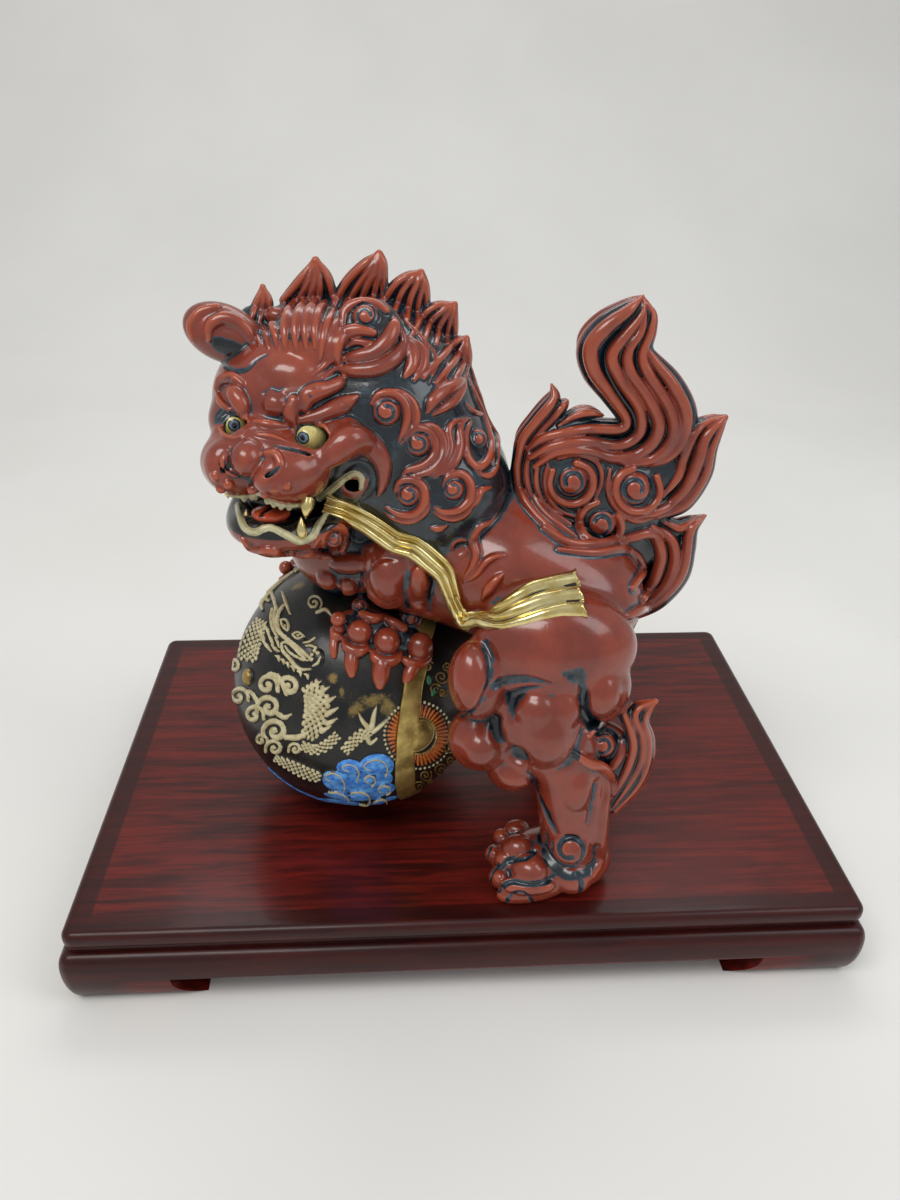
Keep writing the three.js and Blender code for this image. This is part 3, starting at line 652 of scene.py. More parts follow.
on_both(hands, HAND_FRAMES, lump(ball_ground, BALL_VIEW, (985, 415), (290, 135), -14, 5.0, 12.0), 2)
for hand in hands.values():
    hand.keep_ground()
grip = ground_of(ball_ground.low, ball_ground.high, ball_ground, hands["left"], arms["left"])
HAND_TOES = (
    (
        ((738, 368), (48, 46), 0),
        [(686, 425, 20), (700, 462, 28), (728, 470, 18)],
        [(690, 480, 28), (686, 530, 27), (688, 580, 17)],
    ),
    (
        ((846, 432), (76, 74), 0),
        [(752, 486, 20), (772, 532, 32), (826, 556, 34), (884, 538, 20)],
        [(796, 570, 46), (792, 630, 44), (795, 690, 24)],
    ),
    (
        ((1006, 486), (82, 82), 0),
        [(922, 562, 20), (944, 600, 32), (1000, 620, 36), (1062, 596, 28), (1084, 556, 14)],
        [(976, 640, 58), (968, 700, 52), (964, 756, 28)],
    ),
    (
        ((1200, 518), (80, 84), 0),
        [(1104, 600, 18), (1140, 624, 28), (1196, 626, 32), (1246, 596, 24), (1266, 556, 12)],
        [(1160, 650, 44), (1138, 694, 38), (1118, 728, 20)],
    ),
)
for bulb, collar, claw in HAND_TOES:
    on_both(hands, HAND_FRAMES, trace(grip, BALL_VIEW, claw, 0.1), 0.4)
    seat = np.add(bulb[0], collar[len(collar) // 2][:2]) / 2
    on_both(hands, HAND_FRAMES, lump(grip, BALL_VIEW, seat, np.multiply(bulb[1], 0.92), 0, 4.5), 0.4)
    wide = [(x, y, 1.15 * w) for x, y, w in collar]
    on_both(hands, HAND_FRAMES, trace(grip, BALL_VIEW, wide, 0.45), 0.4)
    on_both(hands, HAND_FRAMES, lump(grip, BALL_VIEW, *bulb, 9.0), 0.4)
HAND_SCROLLS = ((848, 278, 56, 20, -1), (1146, 358, 74, 160, 1))
for place in HAND_SCROLLS:
    knob, groove = scroll(grip, BALL_VIEW, *place, 1.1, 1.0)
    on_both(hands, HAND_FRAMES, knob, 0.5)
    on_both(hands, HAND_FRAMES, groove, 0.5, carve=True)
HAND_STRANDS = ([(860, 335, 30), (925, 362, 36), (990, 345, 22)],
                [(1100, 415, 30), (1045, 388, 36), (995, 348, 20)])
for strand in HAND_STRANDS:
    on_both(hands, HAND_FRAMES, trace(grip, BALL_VIEW, strand, 0.3), 0.5)

# Mane: a dark ground with red locks and curls laid on it
mane = piece("mane", (-136, -102, 168), (48, 50, 346), 1.5, "mane_casting")
mane.ellipsoid((-52, -28, 258), (58, 54, 66), blend=10)
mane.ellipsoid((-22, -38, 228), (46, 50, 46), blend=10)
CREST_ROOT = [(-118, -16, 297, 11), (-92, -10, 308, 13), (-64, -11, 312, 13), (-40, -14, 306, 13),
              (-20, -18, 291, 12), (-8, -24, 273, 11), (-2, -28, 254, 9)]
mane.rope(smooth_path(CREST_ROOT), 6)
CREST_WALL = (
    (345, 385, -17), (400, 420, -17), (520, 370, -14), (640, 345, -13), (740, 335, -13), (860, 350, -14),
    (985, 335, -15), (1090, 400, -17), (1190, 485, -19), (1275, 560, -22), (1335, 650, -26),
)
wall = [np.append(on_plane(HEAD_VIEW, *place), 9) for place in CREST_WALL]
mane.rope(smooth_path(wall), 4)
mane.keep_ground()
MANE_MIDDLE_Y = -26.0
# The far side repeats the near side's strands, and again moved along it by these
FAR_COPIES = (-32.0, -64.0)
MANE_CURLS = {
    "left_1": (
        (1004, 830, 74, 40, -1),
        (
            [(930, 790, 12), (965, 745, 20), (1030, 738, 24), (1085, 775, 26), (1105, 840, 26),
             (1092, 910, 21), (1062, 980, 6)],
            [(1000, 722, 8), (1070, 735, 18), (1130, 785, 23), (1150, 860, 23), (1126, 935, 17),
             (1072, 992, 5)],
        ),
    ),
    "left_2": (
        (1162, 988, 68, 40, -1),
        (
            [(1098, 955, 12), (1132, 915, 20), (1195, 918, 23), (1240, 970, 25), (1238, 1045, 25),
             (1188, 1095, 23), (1112, 1120, 18), (1074, 1148, 6)],
            [(1160, 895, 8), (1228, 900, 18), (1280, 960, 23), (1282, 1050, 23), (1228, 1122, 21),
             (1140, 1150, 15), (1076, 1170, 5)],
        ),
    ),
    "left_3": (
        (1112, 1242, 62, 40, -1),
        (
            [(1048, 1222, 12), (1070, 1178, 19), (1130, 1168, 23), (1185, 1205, 26), (1192, 1280, 26),
             (1145, 1338, 24), (1068, 1338, 19), (998, 1300, 7)],
            [(1212, 1240, 8), (1205, 1320, 15), (1130, 1372, 17), (1045, 1362, 13), (988, 1322, 5)],
        ),
    ),
    "left_4": (
        (1336, 1215, 58, 40, -1),
        (
            [(1286, 1200, 12), (1312, 1150, 19), (1375, 1142, 23), (1415, 1190, 26), (1412, 1265, 26),
             (1360, 1318, 23), (1290, 1328, 18), (1234, 1300, 6)],
            [(1436, 1240, 8), (1408, 1325, 15), (1338, 1362, 17), (1272, 1350, 12), (1230, 1318, 5)],
        ),
    ),
    "left_5": (
        (1460, 962, 56, 130, -1),
        (
            [(1420, 880, 10), (1396, 930, 17), (1394, 1010, 21), (1412, 1075, 23), (1455, 1108, 24),
             (1502, 1070, 22), (1520, 985, 19), (1508, 905, 12)],
        ),
    ),
}
MANE_LOCKS = {
    "flame_1": [(1215, 1150, 10), (1288, 1095, 22), (1318, 1010, 26), (1306, 935, 24), (1330, 885, 18),
                (1412, 860, 5)],
    "flame_2": [(1240, 1155, 10), (1330, 1095, 24), (1365, 1010, 28), (1360, 935, 24), (1375, 888, 16),
                (1418, 860, 5)],
    "small": [(1525, 1205, 6), (1465, 1225, 24), (1440, 1275, 24), (1405, 1320, 6)],
    "leaf_1": [(1205, 830, 14), (1230, 775, 33), (1288, 726, 36), (1350, 690, 28), (1392, 662, 8)],
    "leaf_2": [(1232, 842, 12), (1290, 805, 25), (1345, 762, 27), (1385, 705, 18), (1396, 668, 6)],
    "by_ear_1": [(1088, 470, 22), (1125, 520, 36), (1130, 595, 36), (1095, 655, 16)],
    "by_ear_2": [(1110, 465, 14), (1172, 520, 28), (1185, 600, 28), (1140, 672, 12)],
    "under_crest_1": [(1080, 330, 6), (1105, 395, 15), (1160, 450, 17), (1205, 520, 15), (1212, 590, 6)],
    "under_crest_2": [(1190, 470, 6), (1235, 540, 15), (1242, 610, 15), (1212, 690, 6)],
    "under_crest_3": [(1290, 560, 6), (1300, 620, 13), (1280, 680, 13), (1230, 720, 6)],
    "nape_1": [(1400, 640, 10), (1440, 760, 20), (1485, 870, 21), (1520, 990, 19), (1535, 1100, 8)],
    "nape_2": [(1420, 600, 9), (1475, 700, 19), (1522, 820, 21), (1550, 950, 19), (1558, 1080, 8)],
    "nape_3": [(1440, 1130, 8), (1500, 1150, 18), (1540, 1120, 16), (1560, 1060, 6)],
    "nape_4": [(1395, 790, 8), (1430, 830, 16), (1480, 850, 14), (1500, 890, 6)],
}


def far_side(path, shift=0.0):
    """A strand of the near side of the mane, on its far side and moved along it by shift."""
    path = np.array(path)
    path[:, 0] += shift
    path[:, 1] = 2 * MANE_MIDDLE_Y - path[:, 1]
    path[:, :3] = mane.seat(path[:, :3])
    path[:, :3] += mane.slope(path[:, :3], mane.ground) * (path[:, 3:4] * 0.1)
    return path


def add_far(owner, path, blend):
    """Adds a strand of the near side to the far side, and its moved copies to the mane."""
    owner.rope(far_side(path), blend)
    for shift in FAR_COPIES:
        mane.rope(far_side(path, shift), blend)


def other_cheek(path):
    """A strand on the left side of the head, on its right side."""
    path = np.array(path)
    local = (path[:, :3] - HEAD_MIDDLE) @ HEAD_AXES.T
    local[:, 1] *= -1
    path[:, :3] = HEAD_MIDDLE + local @ HEAD_AXES
    return path


FAR_TWINS = {"left_1": "right_1", "left_4": "right_2"}
for name, (bead, strands) in MANE_CURLS.items():
    paths = [trace(mane, HEAD_VIEW, strand, 0.25) for strand in strands]
    knob, groove = scroll(mane, HEAD_VIEW, *bead)
    spread = np.vstack(paths)[:, :3]
    curl = piece(f"mane_curl_{name}", spread.min(0) - 18, spread.max(0) + 18, 0.4)
    add_scroll(curl, knob, groove)
    owner = mane
    if name in FAR_TWINS:
        spread = far_side(np.vstack(paths))[:, :3]
        owner = piece(f"mane_curl_{FAR_TWINS[name]}", spread.min(0) - 22, spread.max(0) + 22, 0.4)
    for path in paths:
        curl.rope(path, 0.4)
        add_far(owner, path, 0.4)
    bulb = np.append(mane.cast(HEAD_VIEW, [bead[:2]])[0], knob[1][0] * 0.8)
    add_far(owner, [bulb, bulb + (0.1, 0, 0, 0)], 0.4)
for strand in MANE_LOCKS.values():
    add_far(mane, lay(mane, mane, HEAD_VIEW, strand, 0.15, 0.6), 0.6)

# Crest: flame locks along the top of the mane, drawn on upright planes
CREST = {
    1: (
        -17,
        [
            [(325, 390, 18), (358, 295, 22), (384, 203, 4)],
            [(368, 395, 16), (388, 295, 20), (387, 205, 4)],
            [(415, 365, 16), (418, 280, 18), (390, 207, 4)],
        ],
    ),
    2: (
        -13,
        [
            [(490, 275, 18), (575, 175, 22), (640, 72, 4)],
            [(545, 300, 18), (608, 195, 23), (645, 75, 4)],
            [(600, 310, 18), (642, 200, 23), (648, 75, 4)],
            [(660, 310, 18), (672, 190, 22), (652, 72, 4)],
            [(745, 290, 18), (708, 160, 22), (655, 68, 4)],
        ],
    ),
    3: (
        -14,
        [
            [(735, 320, 20), (800, 195, 24), (895, 95, 22), (960, 40, 4)],
            [(790, 340, 20), (850, 220, 24), (922, 120, 22), (965, 42, 4)],
            [(860, 330, 20), (900, 215, 24), (948, 115, 22), (968, 40, 4)],
            [(925, 330, 20), (948, 215, 22), (972, 110, 20), (968, 40, 4)],
            [(985, 280, 20), (988, 160, 20), (988, 80, 14), (967, 38, 4)],
        ],
    ),
    4: (
        -17,
        [
            [(985, 290, 18), (1040, 205, 22), (1105, 155, 18), (1168, 132, 4)],
            [(1045, 330, 18), (1080, 235, 22), (1132, 168, 18), (1172, 134, 4)],
            [(1105, 380, 18), (1122, 270, 23), (1160, 182, 21), (1174, 134, 4)],
            [(1155, 390, 18), (1165, 280, 20), (1188, 190, 16), (1177, 134, 4)],
            [(1200, 330, 16), (1202, 225, 16), (1180, 134, 4)],
        ],
    ),
    5: (
        -20,
        [
            [(1125, 460, 18), (1185, 355, 22), (1255, 302, 18), (1336, 292, 4)],
            [(1185, 490, 18), (1222, 385, 23), (1288, 322, 19), (1340, 294, 4)],
            [(1245, 500, 18), (1268, 405, 22), (1312, 335, 17), (1342, 294, 4)],
            [(1300, 500, 16), (1312, 410, 18), (1335, 335, 14), (1343, 295, 4)],
            [(1340, 480, 14), (1346, 385, 14), (1345, 296, 4)],
        ],
    ),
    6: (
        -26,
        [
            [(1185, 660, 20), (1270, 565, 25), (1340, 490, 23), (1397, 460, 5)],
            [(1245, 690, 20), (1320, 600, 26), (1372, 525, 23), (1400, 462, 5)],
            [(1320, 700, 20), (1372, 610, 24), (1396, 530, 18), (1402, 464, 5)],
            [(1390, 660, 16), (1412, 560, 16), (1404, 466, 5)],
        ],
    ),
}
LOCK_MARGIN = (14, 60, 14)
locks = []
for number, (depth, strands) in CREST.items():
    spots = np.array([on_plane(HEAD_VIEW, x, y, depth) for strand in strands for x, y, _ in strand])
    lock = piece(f"crest_lock_{number}", spots.min(0) - LOCK_MARGIN, spots.max(0) + LOCK_MARGIN, 1.0)
    sheet(lock, HEAD_VIEW, depth, strands, 1.2, 0.76, 0.3, mane)
    locks.append(lock)

# Head
HEAD_LOW, HEAD_HIGH = (-172, -135, 190), (-20, 22, 345)
EYE_RADIUS = 9.0
EYES = {"left": ((31, 21, 2.5), (588, 960)), "right": ((32, -21, 2.5), (245, 898))}
CHEEKBONE = [(34, 28, -2, 11), (24, 38, 3, 12), (12, 43, -2, 10), (4, 42, -14, 8)]
head = piece("head", HEAD_LOW, HEAD_HIGH, 1.2, "head_casting")
head.ellipsoid(head_place(-2, 0, 12), (42, 47, 40), HEAD_AXES, 4)
for side, narrow in ((1, 1.0), (-1, 0.7)):
    cheek = np.array(CHEEKBONE, float) * (1, side, 1, 1)
    head.rope(smooth_path(turned(cheek * (1, narrow, 1, 1), HEAD_MIDDLE, HEAD_AXES)), 6)
    head.ellipsoid(head_place(37, 14 * side, -15), (24, 20, 18), HEAD_AXES, 5)
head.ellipsoid(head_place(34, 0, -4), (24, 20, 14), HEAD_AXES, 6)
head.ellipsoid(head_place(-2, 11, 43), (30, 28, 22), HEAD_AXES, 3)
head.keep_ground()
face = ground_of(HEAD_LOW, HEAD_HIGH, head, mane)
head.ellipsoid(head_place(36, 0, -41), (40, 40, 9.5), HEAD_AXES, 2, carve=True)
MOUTH_CORNER = [(44, 22, -38, 6), (32, 35, -32, 7), (23, 42, -24, 6)]
for side in (-1, 1):
    corner = turned([(x, side * y, z, r) for x, y, z, r in MOUTH_CORNER], HEAD_MIDDLE, HEAD_AXES)
    head.rope(smooth_path(corner), 2, carve=True)

CHEEK = [(690, 1070, 50), (750, 1030, 72), (820, 975, 80), (885, 975, 68), (945, 1020, 58),
         (982, 1080, 47), (990, 1145, 36), (982, 1200, 24), (962, 1250, 6)]
lay(head, face, HEAD_VIEW, CHEEK, -0.1, 3)
corner_hole = lump(face, HEAD_VIEW, (836, 1200), (66, 50), 20, 2, 13)
for clay in (head, mane):
    clay.ellipsoid(*corner_hole, 1.5, carve=True)
CORNER_EDGE = [(790, 1122, 8), (850, 1085, 14), (915, 1110, 20), (940, 1175, 20), (905, 1245, 16),
               (850, 1285, 8)]
engrave(trace(face, HEAD_VIEW, CORNER_EDGE, 0.3), 1.5, mane)
LIP = [(215, 1262, 9), (280, 1282, 10), (350, 1292, 10), (430, 1304, 11), (520, 1308, 12),
       (600, 1290, 12), (680, 1253, 12), (745, 1203, 12), (800, 1158, 11), (845, 1135, 10),
       (878, 1155, 10), (872, 1210, 8)]
EYE_SOCKETS = (((625, 950), (98, 72)), ((245, 890), (78, 70)))
for place, size in EYE_SOCKETS:
    head.ellipsoid(*lump(head, HEAD_VIEW, place, size, 0, 4, 9), 2.5, carve=True)
HEAD_BUMPS = (
    ((565, 1130), (205, 125), 12, 2.5, 4), ((150, 1110), (80, 115), 0, 2.0, 4),
    ((445, 795), (72, 70), 0, 3.5, 1.5), ((455, 352), (58, 46), 0, 4.0, 0.8),
    ((520, 600), (140, 95), 0, 1.5, 4),
)
for place, size, turn_by, proud, blend in HEAD_BUMPS:
    head.ellipsoid(*lump(face, HEAD_VIEW, place, size, turn_by, proud), blend)
WHISKERS = (
    (360, 1240), (408, 1228), (455, 1205), (505, 1190), (345, 1205), (160, 1142), (218, 1182),
    (185, 1200),
)
for place in WHISKERS:
    head.ellipsoid(*lump(head, HEAD_VIEW, place, (28, 28), 0, 4.2), 0.8)
HEAD_STRANDS = {
    "lid_under_left": [(535, 985, 8), (595, 1030, 13), (680, 1022, 13), (728, 955, 8)],
    "lid_over_left": [(540, 925, 8), (610, 893, 12), (690, 900, 12), (722, 945, 7)],
    "lid_under_right": [(172, 910, 8), (208, 956, 12), (275, 960, 12), (316, 918, 7)],
    "lid_over_right": [(172, 858, 8), (220, 816, 11), (285, 826, 11), (318, 880, 7)],
    "bridge_1": [(350, 885, 16), (420, 900, 28), (505, 903, 14)],
    "bridge_2": [(360, 945, 10), (430, 955, 15), (520, 985, 8)],
    "hair_1": [(506, 528, 10), (502, 440, 26), (514, 350, 28), (545, 285, 18)],
    "hair_2": [(556, 520, 10), (552, 430, 26), (566, 345, 28), (596, 282, 18)],
    "hair_3": [(604, 512, 10), (600, 425, 26), (616, 340, 28), (646, 282, 18)],
    "hair_4": [(648, 515, 10), (646, 420, 26), (664, 340, 27), (698, 285, 16)],
    "hair_5": [(672, 575, 8), (684, 490, 20), (704, 405, 24), (738, 330, 18)],
    "hair_6": [(706, 580, 8), (722, 500, 20), (742, 430, 22), (778, 350, 16)],
    "hair_7": [(462, 515, 10), (458, 445, 24), (438, 400, 22)],
    "hair_8": [(416, 510, 10), (410, 455, 20), (390, 412, 18)],
    "hair_9": [(374, 502, 8), (364, 460, 16), (348, 425, 14)],
    "temple_1": [(640, 650, 6), (685, 610, 14), (740, 560, 14)],
    "temple_2": [(690, 660, 6), (735, 625, 13), (775, 590, 10)],
}
for strand in HEAD_STRANDS.values():
    lay(head, face, HEAD_VIEW, strand, 0.15, 0.8)
HEAD_GROOVES = {
    "muzzle_top": [(450, 1000, 6), (540, 1025, 11), (640, 1062, 11), (735, 1080, 6)],
    "forehead": [(395, 735, 10), (430, 705, 6), (462, 722, 12), (500, 705, 5)],
    "brow_gap": [(505, 800, 6), (498, 860, 12), (530, 905, 8)],
    "under_ear": [(170, 580, 6), (230, 622, 14), (300, 622, 16), (358, 570, 12), (410, 545, 6)],
    "nose_side": [(185, 1040, 6), (182, 1090, 11), (225, 1140, 11), (300, 1165, 9), (380, 1165, 6)],
}
for strand in HEAD_GROOVES.values():
    engrave(trace(head, HEAD_VIEW, strand, 0.5), 1.2, head)
lip = lay(head, face, HEAD_VIEW, LIP, 0.25, 0.5)
far_lip = other_cheek(lip[len(lip) // 2:2 * len(lip) // 3])
head.rope(far_lip, 0.5)
TEETH = ((300, 1302), (342, 1310), (386, 1316), (430, 1326), (474, 1330), (518, 1330))
teeth = head.cast(HEAD_VIEW, [(x, y - 16) for x, y in TEETH]) - HEAD_AXES[2] * 1.4
for tooth in teeth:
    head.ellipsoid(tooth, (1.6, 1.6, 2.0), HEAD_AXES, 0.3)

nose = piece("nose", HEAD_LOW, HEAD_HIGH, 0.8)
nose.ellipsoid(*lump(head, HEAD_VIEW, (312, 1066), (92, 96), 0, 9, 12), 1)
NOSE_WINGS = ([(392, 1168, 14), (446, 1150, 24), (478, 1100, 28), (455, 1052, 26), (405, 1040, 18)],
              [(262, 1152, 10), (216, 1120, 20), (198, 1075, 22), (215, 1035, 14)])
for strand in NOSE_WINGS:
    lay(nose, head, HEAD_VIEW, strand, 0.6, 1.0)
nose.keep_ground()
NOSTRILS = (((416, 1128), (24, 17), 24), ((224, 1100), (18, 20), 0))
nostril_forms = [lump(nose, HEAD_VIEW, *nostril, 1.4, 4.4) for nostril in NOSTRILS]
for form in nostril_forms:
    nose.ellipsoid(*form, 0.8, carve=True)
snout = ground_of(HEAD_LOW, HEAD_HIGH, head, nose)
NOSTRIL_EDGES = ([(384, 1164, 5), (410, 1152, 11), (442, 1128, 12), (470, 1102, 6)],
                 [(198, 1076, 5), (206, 1106, 9), (232, 1128, 9), (262, 1142, 5)])
for stations in NOSTRIL_EDGES:
    engrave(trace(snout, HEAD_VIEW, stations, 0.1), 0.8, nose, head)
BROWS = {
    "left": (
        [(596, 806, 30), (610, 756, 46), (658, 730, 46), (715, 714, 36), (765, 690, 32), (802, 652, 12)],
        [(545, 900, 22), (528, 840, 42), (545, 780, 36)],
        [(580, 872, 24), (680, 848, 38), (780, 802, 46), (858, 755, 14)],
    ),
    "right": (
        [(168, 712, 22), (196, 668, 32), (250, 664, 30), (288, 694, 14)],
        [(302, 862, 20), (292, 800, 46), (262, 745, 46), (238, 712, 22)],
        [(165, 720, 10), (178, 780, 18), (225, 822, 16)],
    ),
}
BROW_SCROLLS = {"left": (640, 738, 34, 60, -1), "right": (215, 682, 28, 60, -1)}
for side, ridges in BROWS.items():
    brow = piece(f"brow_{side}", HEAD_LOW, HEAD_HIGH, 0.6)
    for strand in ridges:
        lay(brow, face, HEAD_VIEW, strand, 0.25, 0.6)
    brow.keep_ground()
    _, groove = scroll(brow, HEAD_VIEW, *BROW_SCROLLS[side], 1.2, 0.3)
    engrave(groove, 0.5, brow)

ear = {}
EARS = {
    "left": ((0, 30, 42), (5, 42, 45), (905, 462), (20, 21, 11), 0),
    "right": ((0, -26, 42), (14, -42, 45), (192, 438), (22.5, 15, 12), -24),
}
for side, (root, tip, place, radii, turn_by) in EARS.items():
    middle = head_place(*tip)
    way = sight(HEAD_VIEW, *place)
    middle = EYE_POINT + way * ((middle - EYE_POINT) @ AHEAD)
    ear[side] = piece(f"ear_{side}", middle - 44, middle + 44, 1.0)
    ear[side].ellipsoid(middle, radii, view_axes(turn_by), 1)
    ear[side].rope(np.vstack([np.append(head_place(*root), 9), np.append(middle + AHEAD * 6, 9)]), 3)
    ear[side].keep_ground()
ear_ground = ground_of(HEAD_LOW, HEAD_HIGH, ear["left"], head, mane)
LEFT_EAR = (
    [(768, 612, 18), (752, 525, 30), (782, 455, 36), (860, 425, 34), (940, 440, 20)],
    [(800, 512, 10), (850, 482, 18), (920, 492, 18), (965, 490, 10)],
    [(785, 568, 22), (860, 556, 36), (945, 534, 42), (1005, 474, 42), (1036, 410, 34), (1044, 362, 8)],
    [(768, 616, 20), (850, 630, 36), (960, 616, 42), (1045, 562, 40), (1082, 490, 30), (1070, 420, 12)],
    [(790, 400, 16), (800, 335, 26), (860, 296, 28), (940, 298, 26), (1000, 330, 20)],
)
for strand in LEFT_EAR:
    lay(ear["left"], ear_ground, HEAD_VIEW, strand, 0.25, 0.5)
add_scroll(ear["left"], *scroll(ear_ground, HEAD_VIEW, 898, 352, 72, 150, 1, 1.4, 0.6))
# The far ear's lower part is only painted dark, as shade; no hollow is cut there
far_ear_shade = lump(ear["right"], HEAD_VIEW, (232, 520), (112, 48), -26, 2.0, 6)
RIGHT_EAR = (
    [(120, 470, 16), (128, 405, 30), (190, 368, 38), (270, 392, 38), (325, 450, 32), (352, 530, 16)],
    [(40, 470, 14), (30, 400, 24), (80, 335, 26), (160, 312, 22)],
)
for strand in RIGHT_EAR:
    lay(ear["right"], ear["right"], HEAD_VIEW, strand, 0.05, 1.2)

# Lower jaw, with its lip and the curls under it
jaw = piece("lower_jaw", HEAD_LOW, HEAD_HIGH, 0.8)
JAW = [(6, -24, -42, 8), (26, -19, -49, 8), (41, -9, -50, 8), (45, 2, -49, 8), (42, 13, -50, 8),
       (26, 28, -49, 8), (2, 36, -40, 8)]
jaw.rope(smooth_path(turned(JAW, HEAD_MIDDLE, HEAD_AXES)), 2)
jaw.ellipsoid(head_place(14, 5, -56), (26, 25, 9), HEAD_AXES, 4)
jaw.ellipsoid(head_place(5, 0, -40), (24, 27, 13), HEAD_AXES, 2)
jaw.keep_ground()
LOWER_LIP = [(262, 1292, 11), (275, 1350, 13), (295, 1405, 14), (345, 1430, 14), (420, 1405, 14),
             (500, 1440, 14), (575, 1478, 14), (630, 1455, 13), (665, 1395, 12), (705, 1330, 10)]
lower_lip = lay(jaw, jaw, HEAD_VIEW, LOWER_LIP, 0.3, 0.6)
chin = ground_of(HEAD_LOW, HEAD_HIGH, jaw, mane, arms["left"], body)
CHIN = (
    [(285, 1460, 12), (340, 1505, 26), (430, 1510, 28), (520, 1545, 20)],
    [(300, 1520, 14), (380, 1550, 30), (470, 1575, 28)],
    [(530, 1525, 18), (610, 1555, 32), (690, 1545, 26), (740, 1560, 12)],
    [(640, 1500, 10), (665, 1450, 18), (700, 1400, 14)],
    [(690, 1500, 12), (680, 1450, 20), (715, 1405, 24), (775, 1410, 24), (805, 1460, 22),
     (785, 1520, 16)],
)
for strand in CHIN:
    lay(jaw, chin, HEAD_VIEW, strand, 0.3, 0.6)
add_scroll(jaw, *scroll(chin, HEAD_VIEW, 745, 1466, 44, 60, -1, 1.2, 0.8))

# Locks where the mane runs out over the shoulder and flank
flank = ground_of((-60, -135, 120), (60, 0, 262), body, mane, legs["left"])
FLANK_LOCKS = (
    [(508, 1138, 5), (478, 1172, 14), (435, 1190, 20), (410, 1240, 22), (428, 1300, 20), (415, 1350, 16),
     (378, 1398, 5)],
    whorl(362, 1285, 46, 1.4, math.radians(60), -1, 0.24),
    [(535, 1308, 5), (495, 1318, 14), (462, 1340, 17), (425, 1388, 12), (380, 1412, 5)],
    [(248, 1195, 8), (275, 1200, 16), (305, 1188, 8)],
    [(455, 1480, 8), (480, 1440, 22), (510, 1405, 18), (530, 1385, 6)],
)
for strand in FLANK_LOCKS:
    lay(mane, flank, TAIL_VIEW, strand, 0.15, 0.6)

# Tail: strands on both faces of a flat core, running out into flames
TAIL_Y = -45.0
TAIL_STRANDS = (
    [(640, 880, 18), (720, 832, 26), (880, 802, 28), (1005, 800, 26), (1030, 760, 26), (965, 662, 30),
     (900, 565, 38), (888, 470, 42), (950, 390, 40), (1040, 322, 28), (1098, 265, 4)],
    [(650, 915, 18), (740, 868, 26), (860, 850, 28), (1000, 868, 28), (1085, 815, 28), (1082, 715, 30),
     (1005, 600, 32), (972, 505, 34), (1030, 420, 30), (1088, 345, 20), (1103, 280, 4)],
    [(665, 950, 16), (750, 895, 24), (860, 885, 28), (985, 920, 30), (1105, 885, 32), (1162, 795, 34),
     (1120, 680, 34), (1045, 570, 32), (1038, 480, 28), (1090, 400, 22), (1110, 300, 4)],
    [(960, 925, 14), (1050, 935, 24), (1145, 910, 30), (1218, 830, 34), (1205, 720, 34), (1125, 590, 32),
     (1095, 505, 26), (1125, 410, 20), (1138, 340, 12), (1112, 290, 4)],
    [(1100, 945, 14), (1180, 920, 26), (1248, 850, 32), (1268, 740, 36), (1215, 620, 34),
     (1140, 525, 24), (1110, 470, 8)],
    [(596, 960, 14), (612, 850, 24), (665, 775, 26), (715, 715, 26), (742, 670, 18), (730, 620, 4)],
    [(640, 870, 12), (710, 785, 20), (765, 718, 20), (792, 690, 8)],
    [(760, 790, 12), (830, 745, 20), (890, 735, 18), (935, 745, 6)],
    [(1050, 1155, 16), (1160, 1125, 26), (1260, 1050, 32), (1318, 930, 34), (1345, 840, 30),
     (1395, 780, 18), (1430, 752, 4)],
    [(1150, 1150, 16), (1260, 1100, 26), (1340, 985, 26), (1368, 880, 22), (1405, 800, 14),
     (1430, 754, 4)],
    [(1170, 1070, 14), (1235, 985, 26), (1270, 880, 28), (1305, 810, 24), (1380, 762, 12),
     (1428, 752, 4)],
    [(606, 870, 16), (594, 960, 22), (608, 1060, 22), (660, 1145, 22), (735, 1215, 22), (800, 1265, 16)],
    [(642, 900, 14), (634, 975, 19), (650, 1060, 20), (695, 1135, 20), (765, 1195, 19), (825, 1235, 12)],
    [(678, 935, 12), (670, 1000, 17), (688, 1075, 18), (735, 1140, 18), (800, 1185, 14)],
    [(716, 940, 10), (704, 1010, 15), (722, 1080, 16), (768, 1128, 15), (822, 1150, 10)],
    [(755, 920, 10), (830, 900, 17), (910, 935, 16), (930, 1010, 14), (900, 1090, 10)],
    [(965, 960, 10), (955, 1040, 16), (985, 1110, 18), (1060, 1165, 18), (1150, 1150, 12)],
    [(700, 1200, 18), (800, 1262, 26), (930, 1265, 26), (1050, 1232, 28), (1125, 1215, 30),
     (1165, 1290, 32), (1150, 1390, 32), (1090, 1480, 24)],
    [(760, 1285, 12), (900, 1300, 20), (1010, 1285, 22), (1070, 1310, 24), (1090, 1370, 26),
     (1050, 1440, 18)],
    [(1130, 1190, 18), (1205, 1240, 28), (1225, 1320, 32), (1190, 1420, 32), (1110, 1500, 28),
     (1030, 1550, 18)],
    [(1040, 1550, 20), (1150, 1490, 30), (1240, 1390, 32), (1272, 1280, 28), (1290, 1200, 22),
     (1350, 1148, 4)],
    [(1180, 1170, 14), (1240, 1200, 22), (1268, 1190, 20), (1300, 1165, 10)],
    [(840, 1120, 10), (832, 1190, 15), (870, 1250, 16), (950, 1262, 14)],
)
TAIL_CURLS = {
    "left": (812, 1012, 86, 150, -1),
    "right": (1068, 1040, 90, 30, 1),
    "lower": (928, 1182, 86, 100, -1),
}
tail = piece("tail", (20, -112, 140), (152, -8, 346), 2.0, "tail_casting")
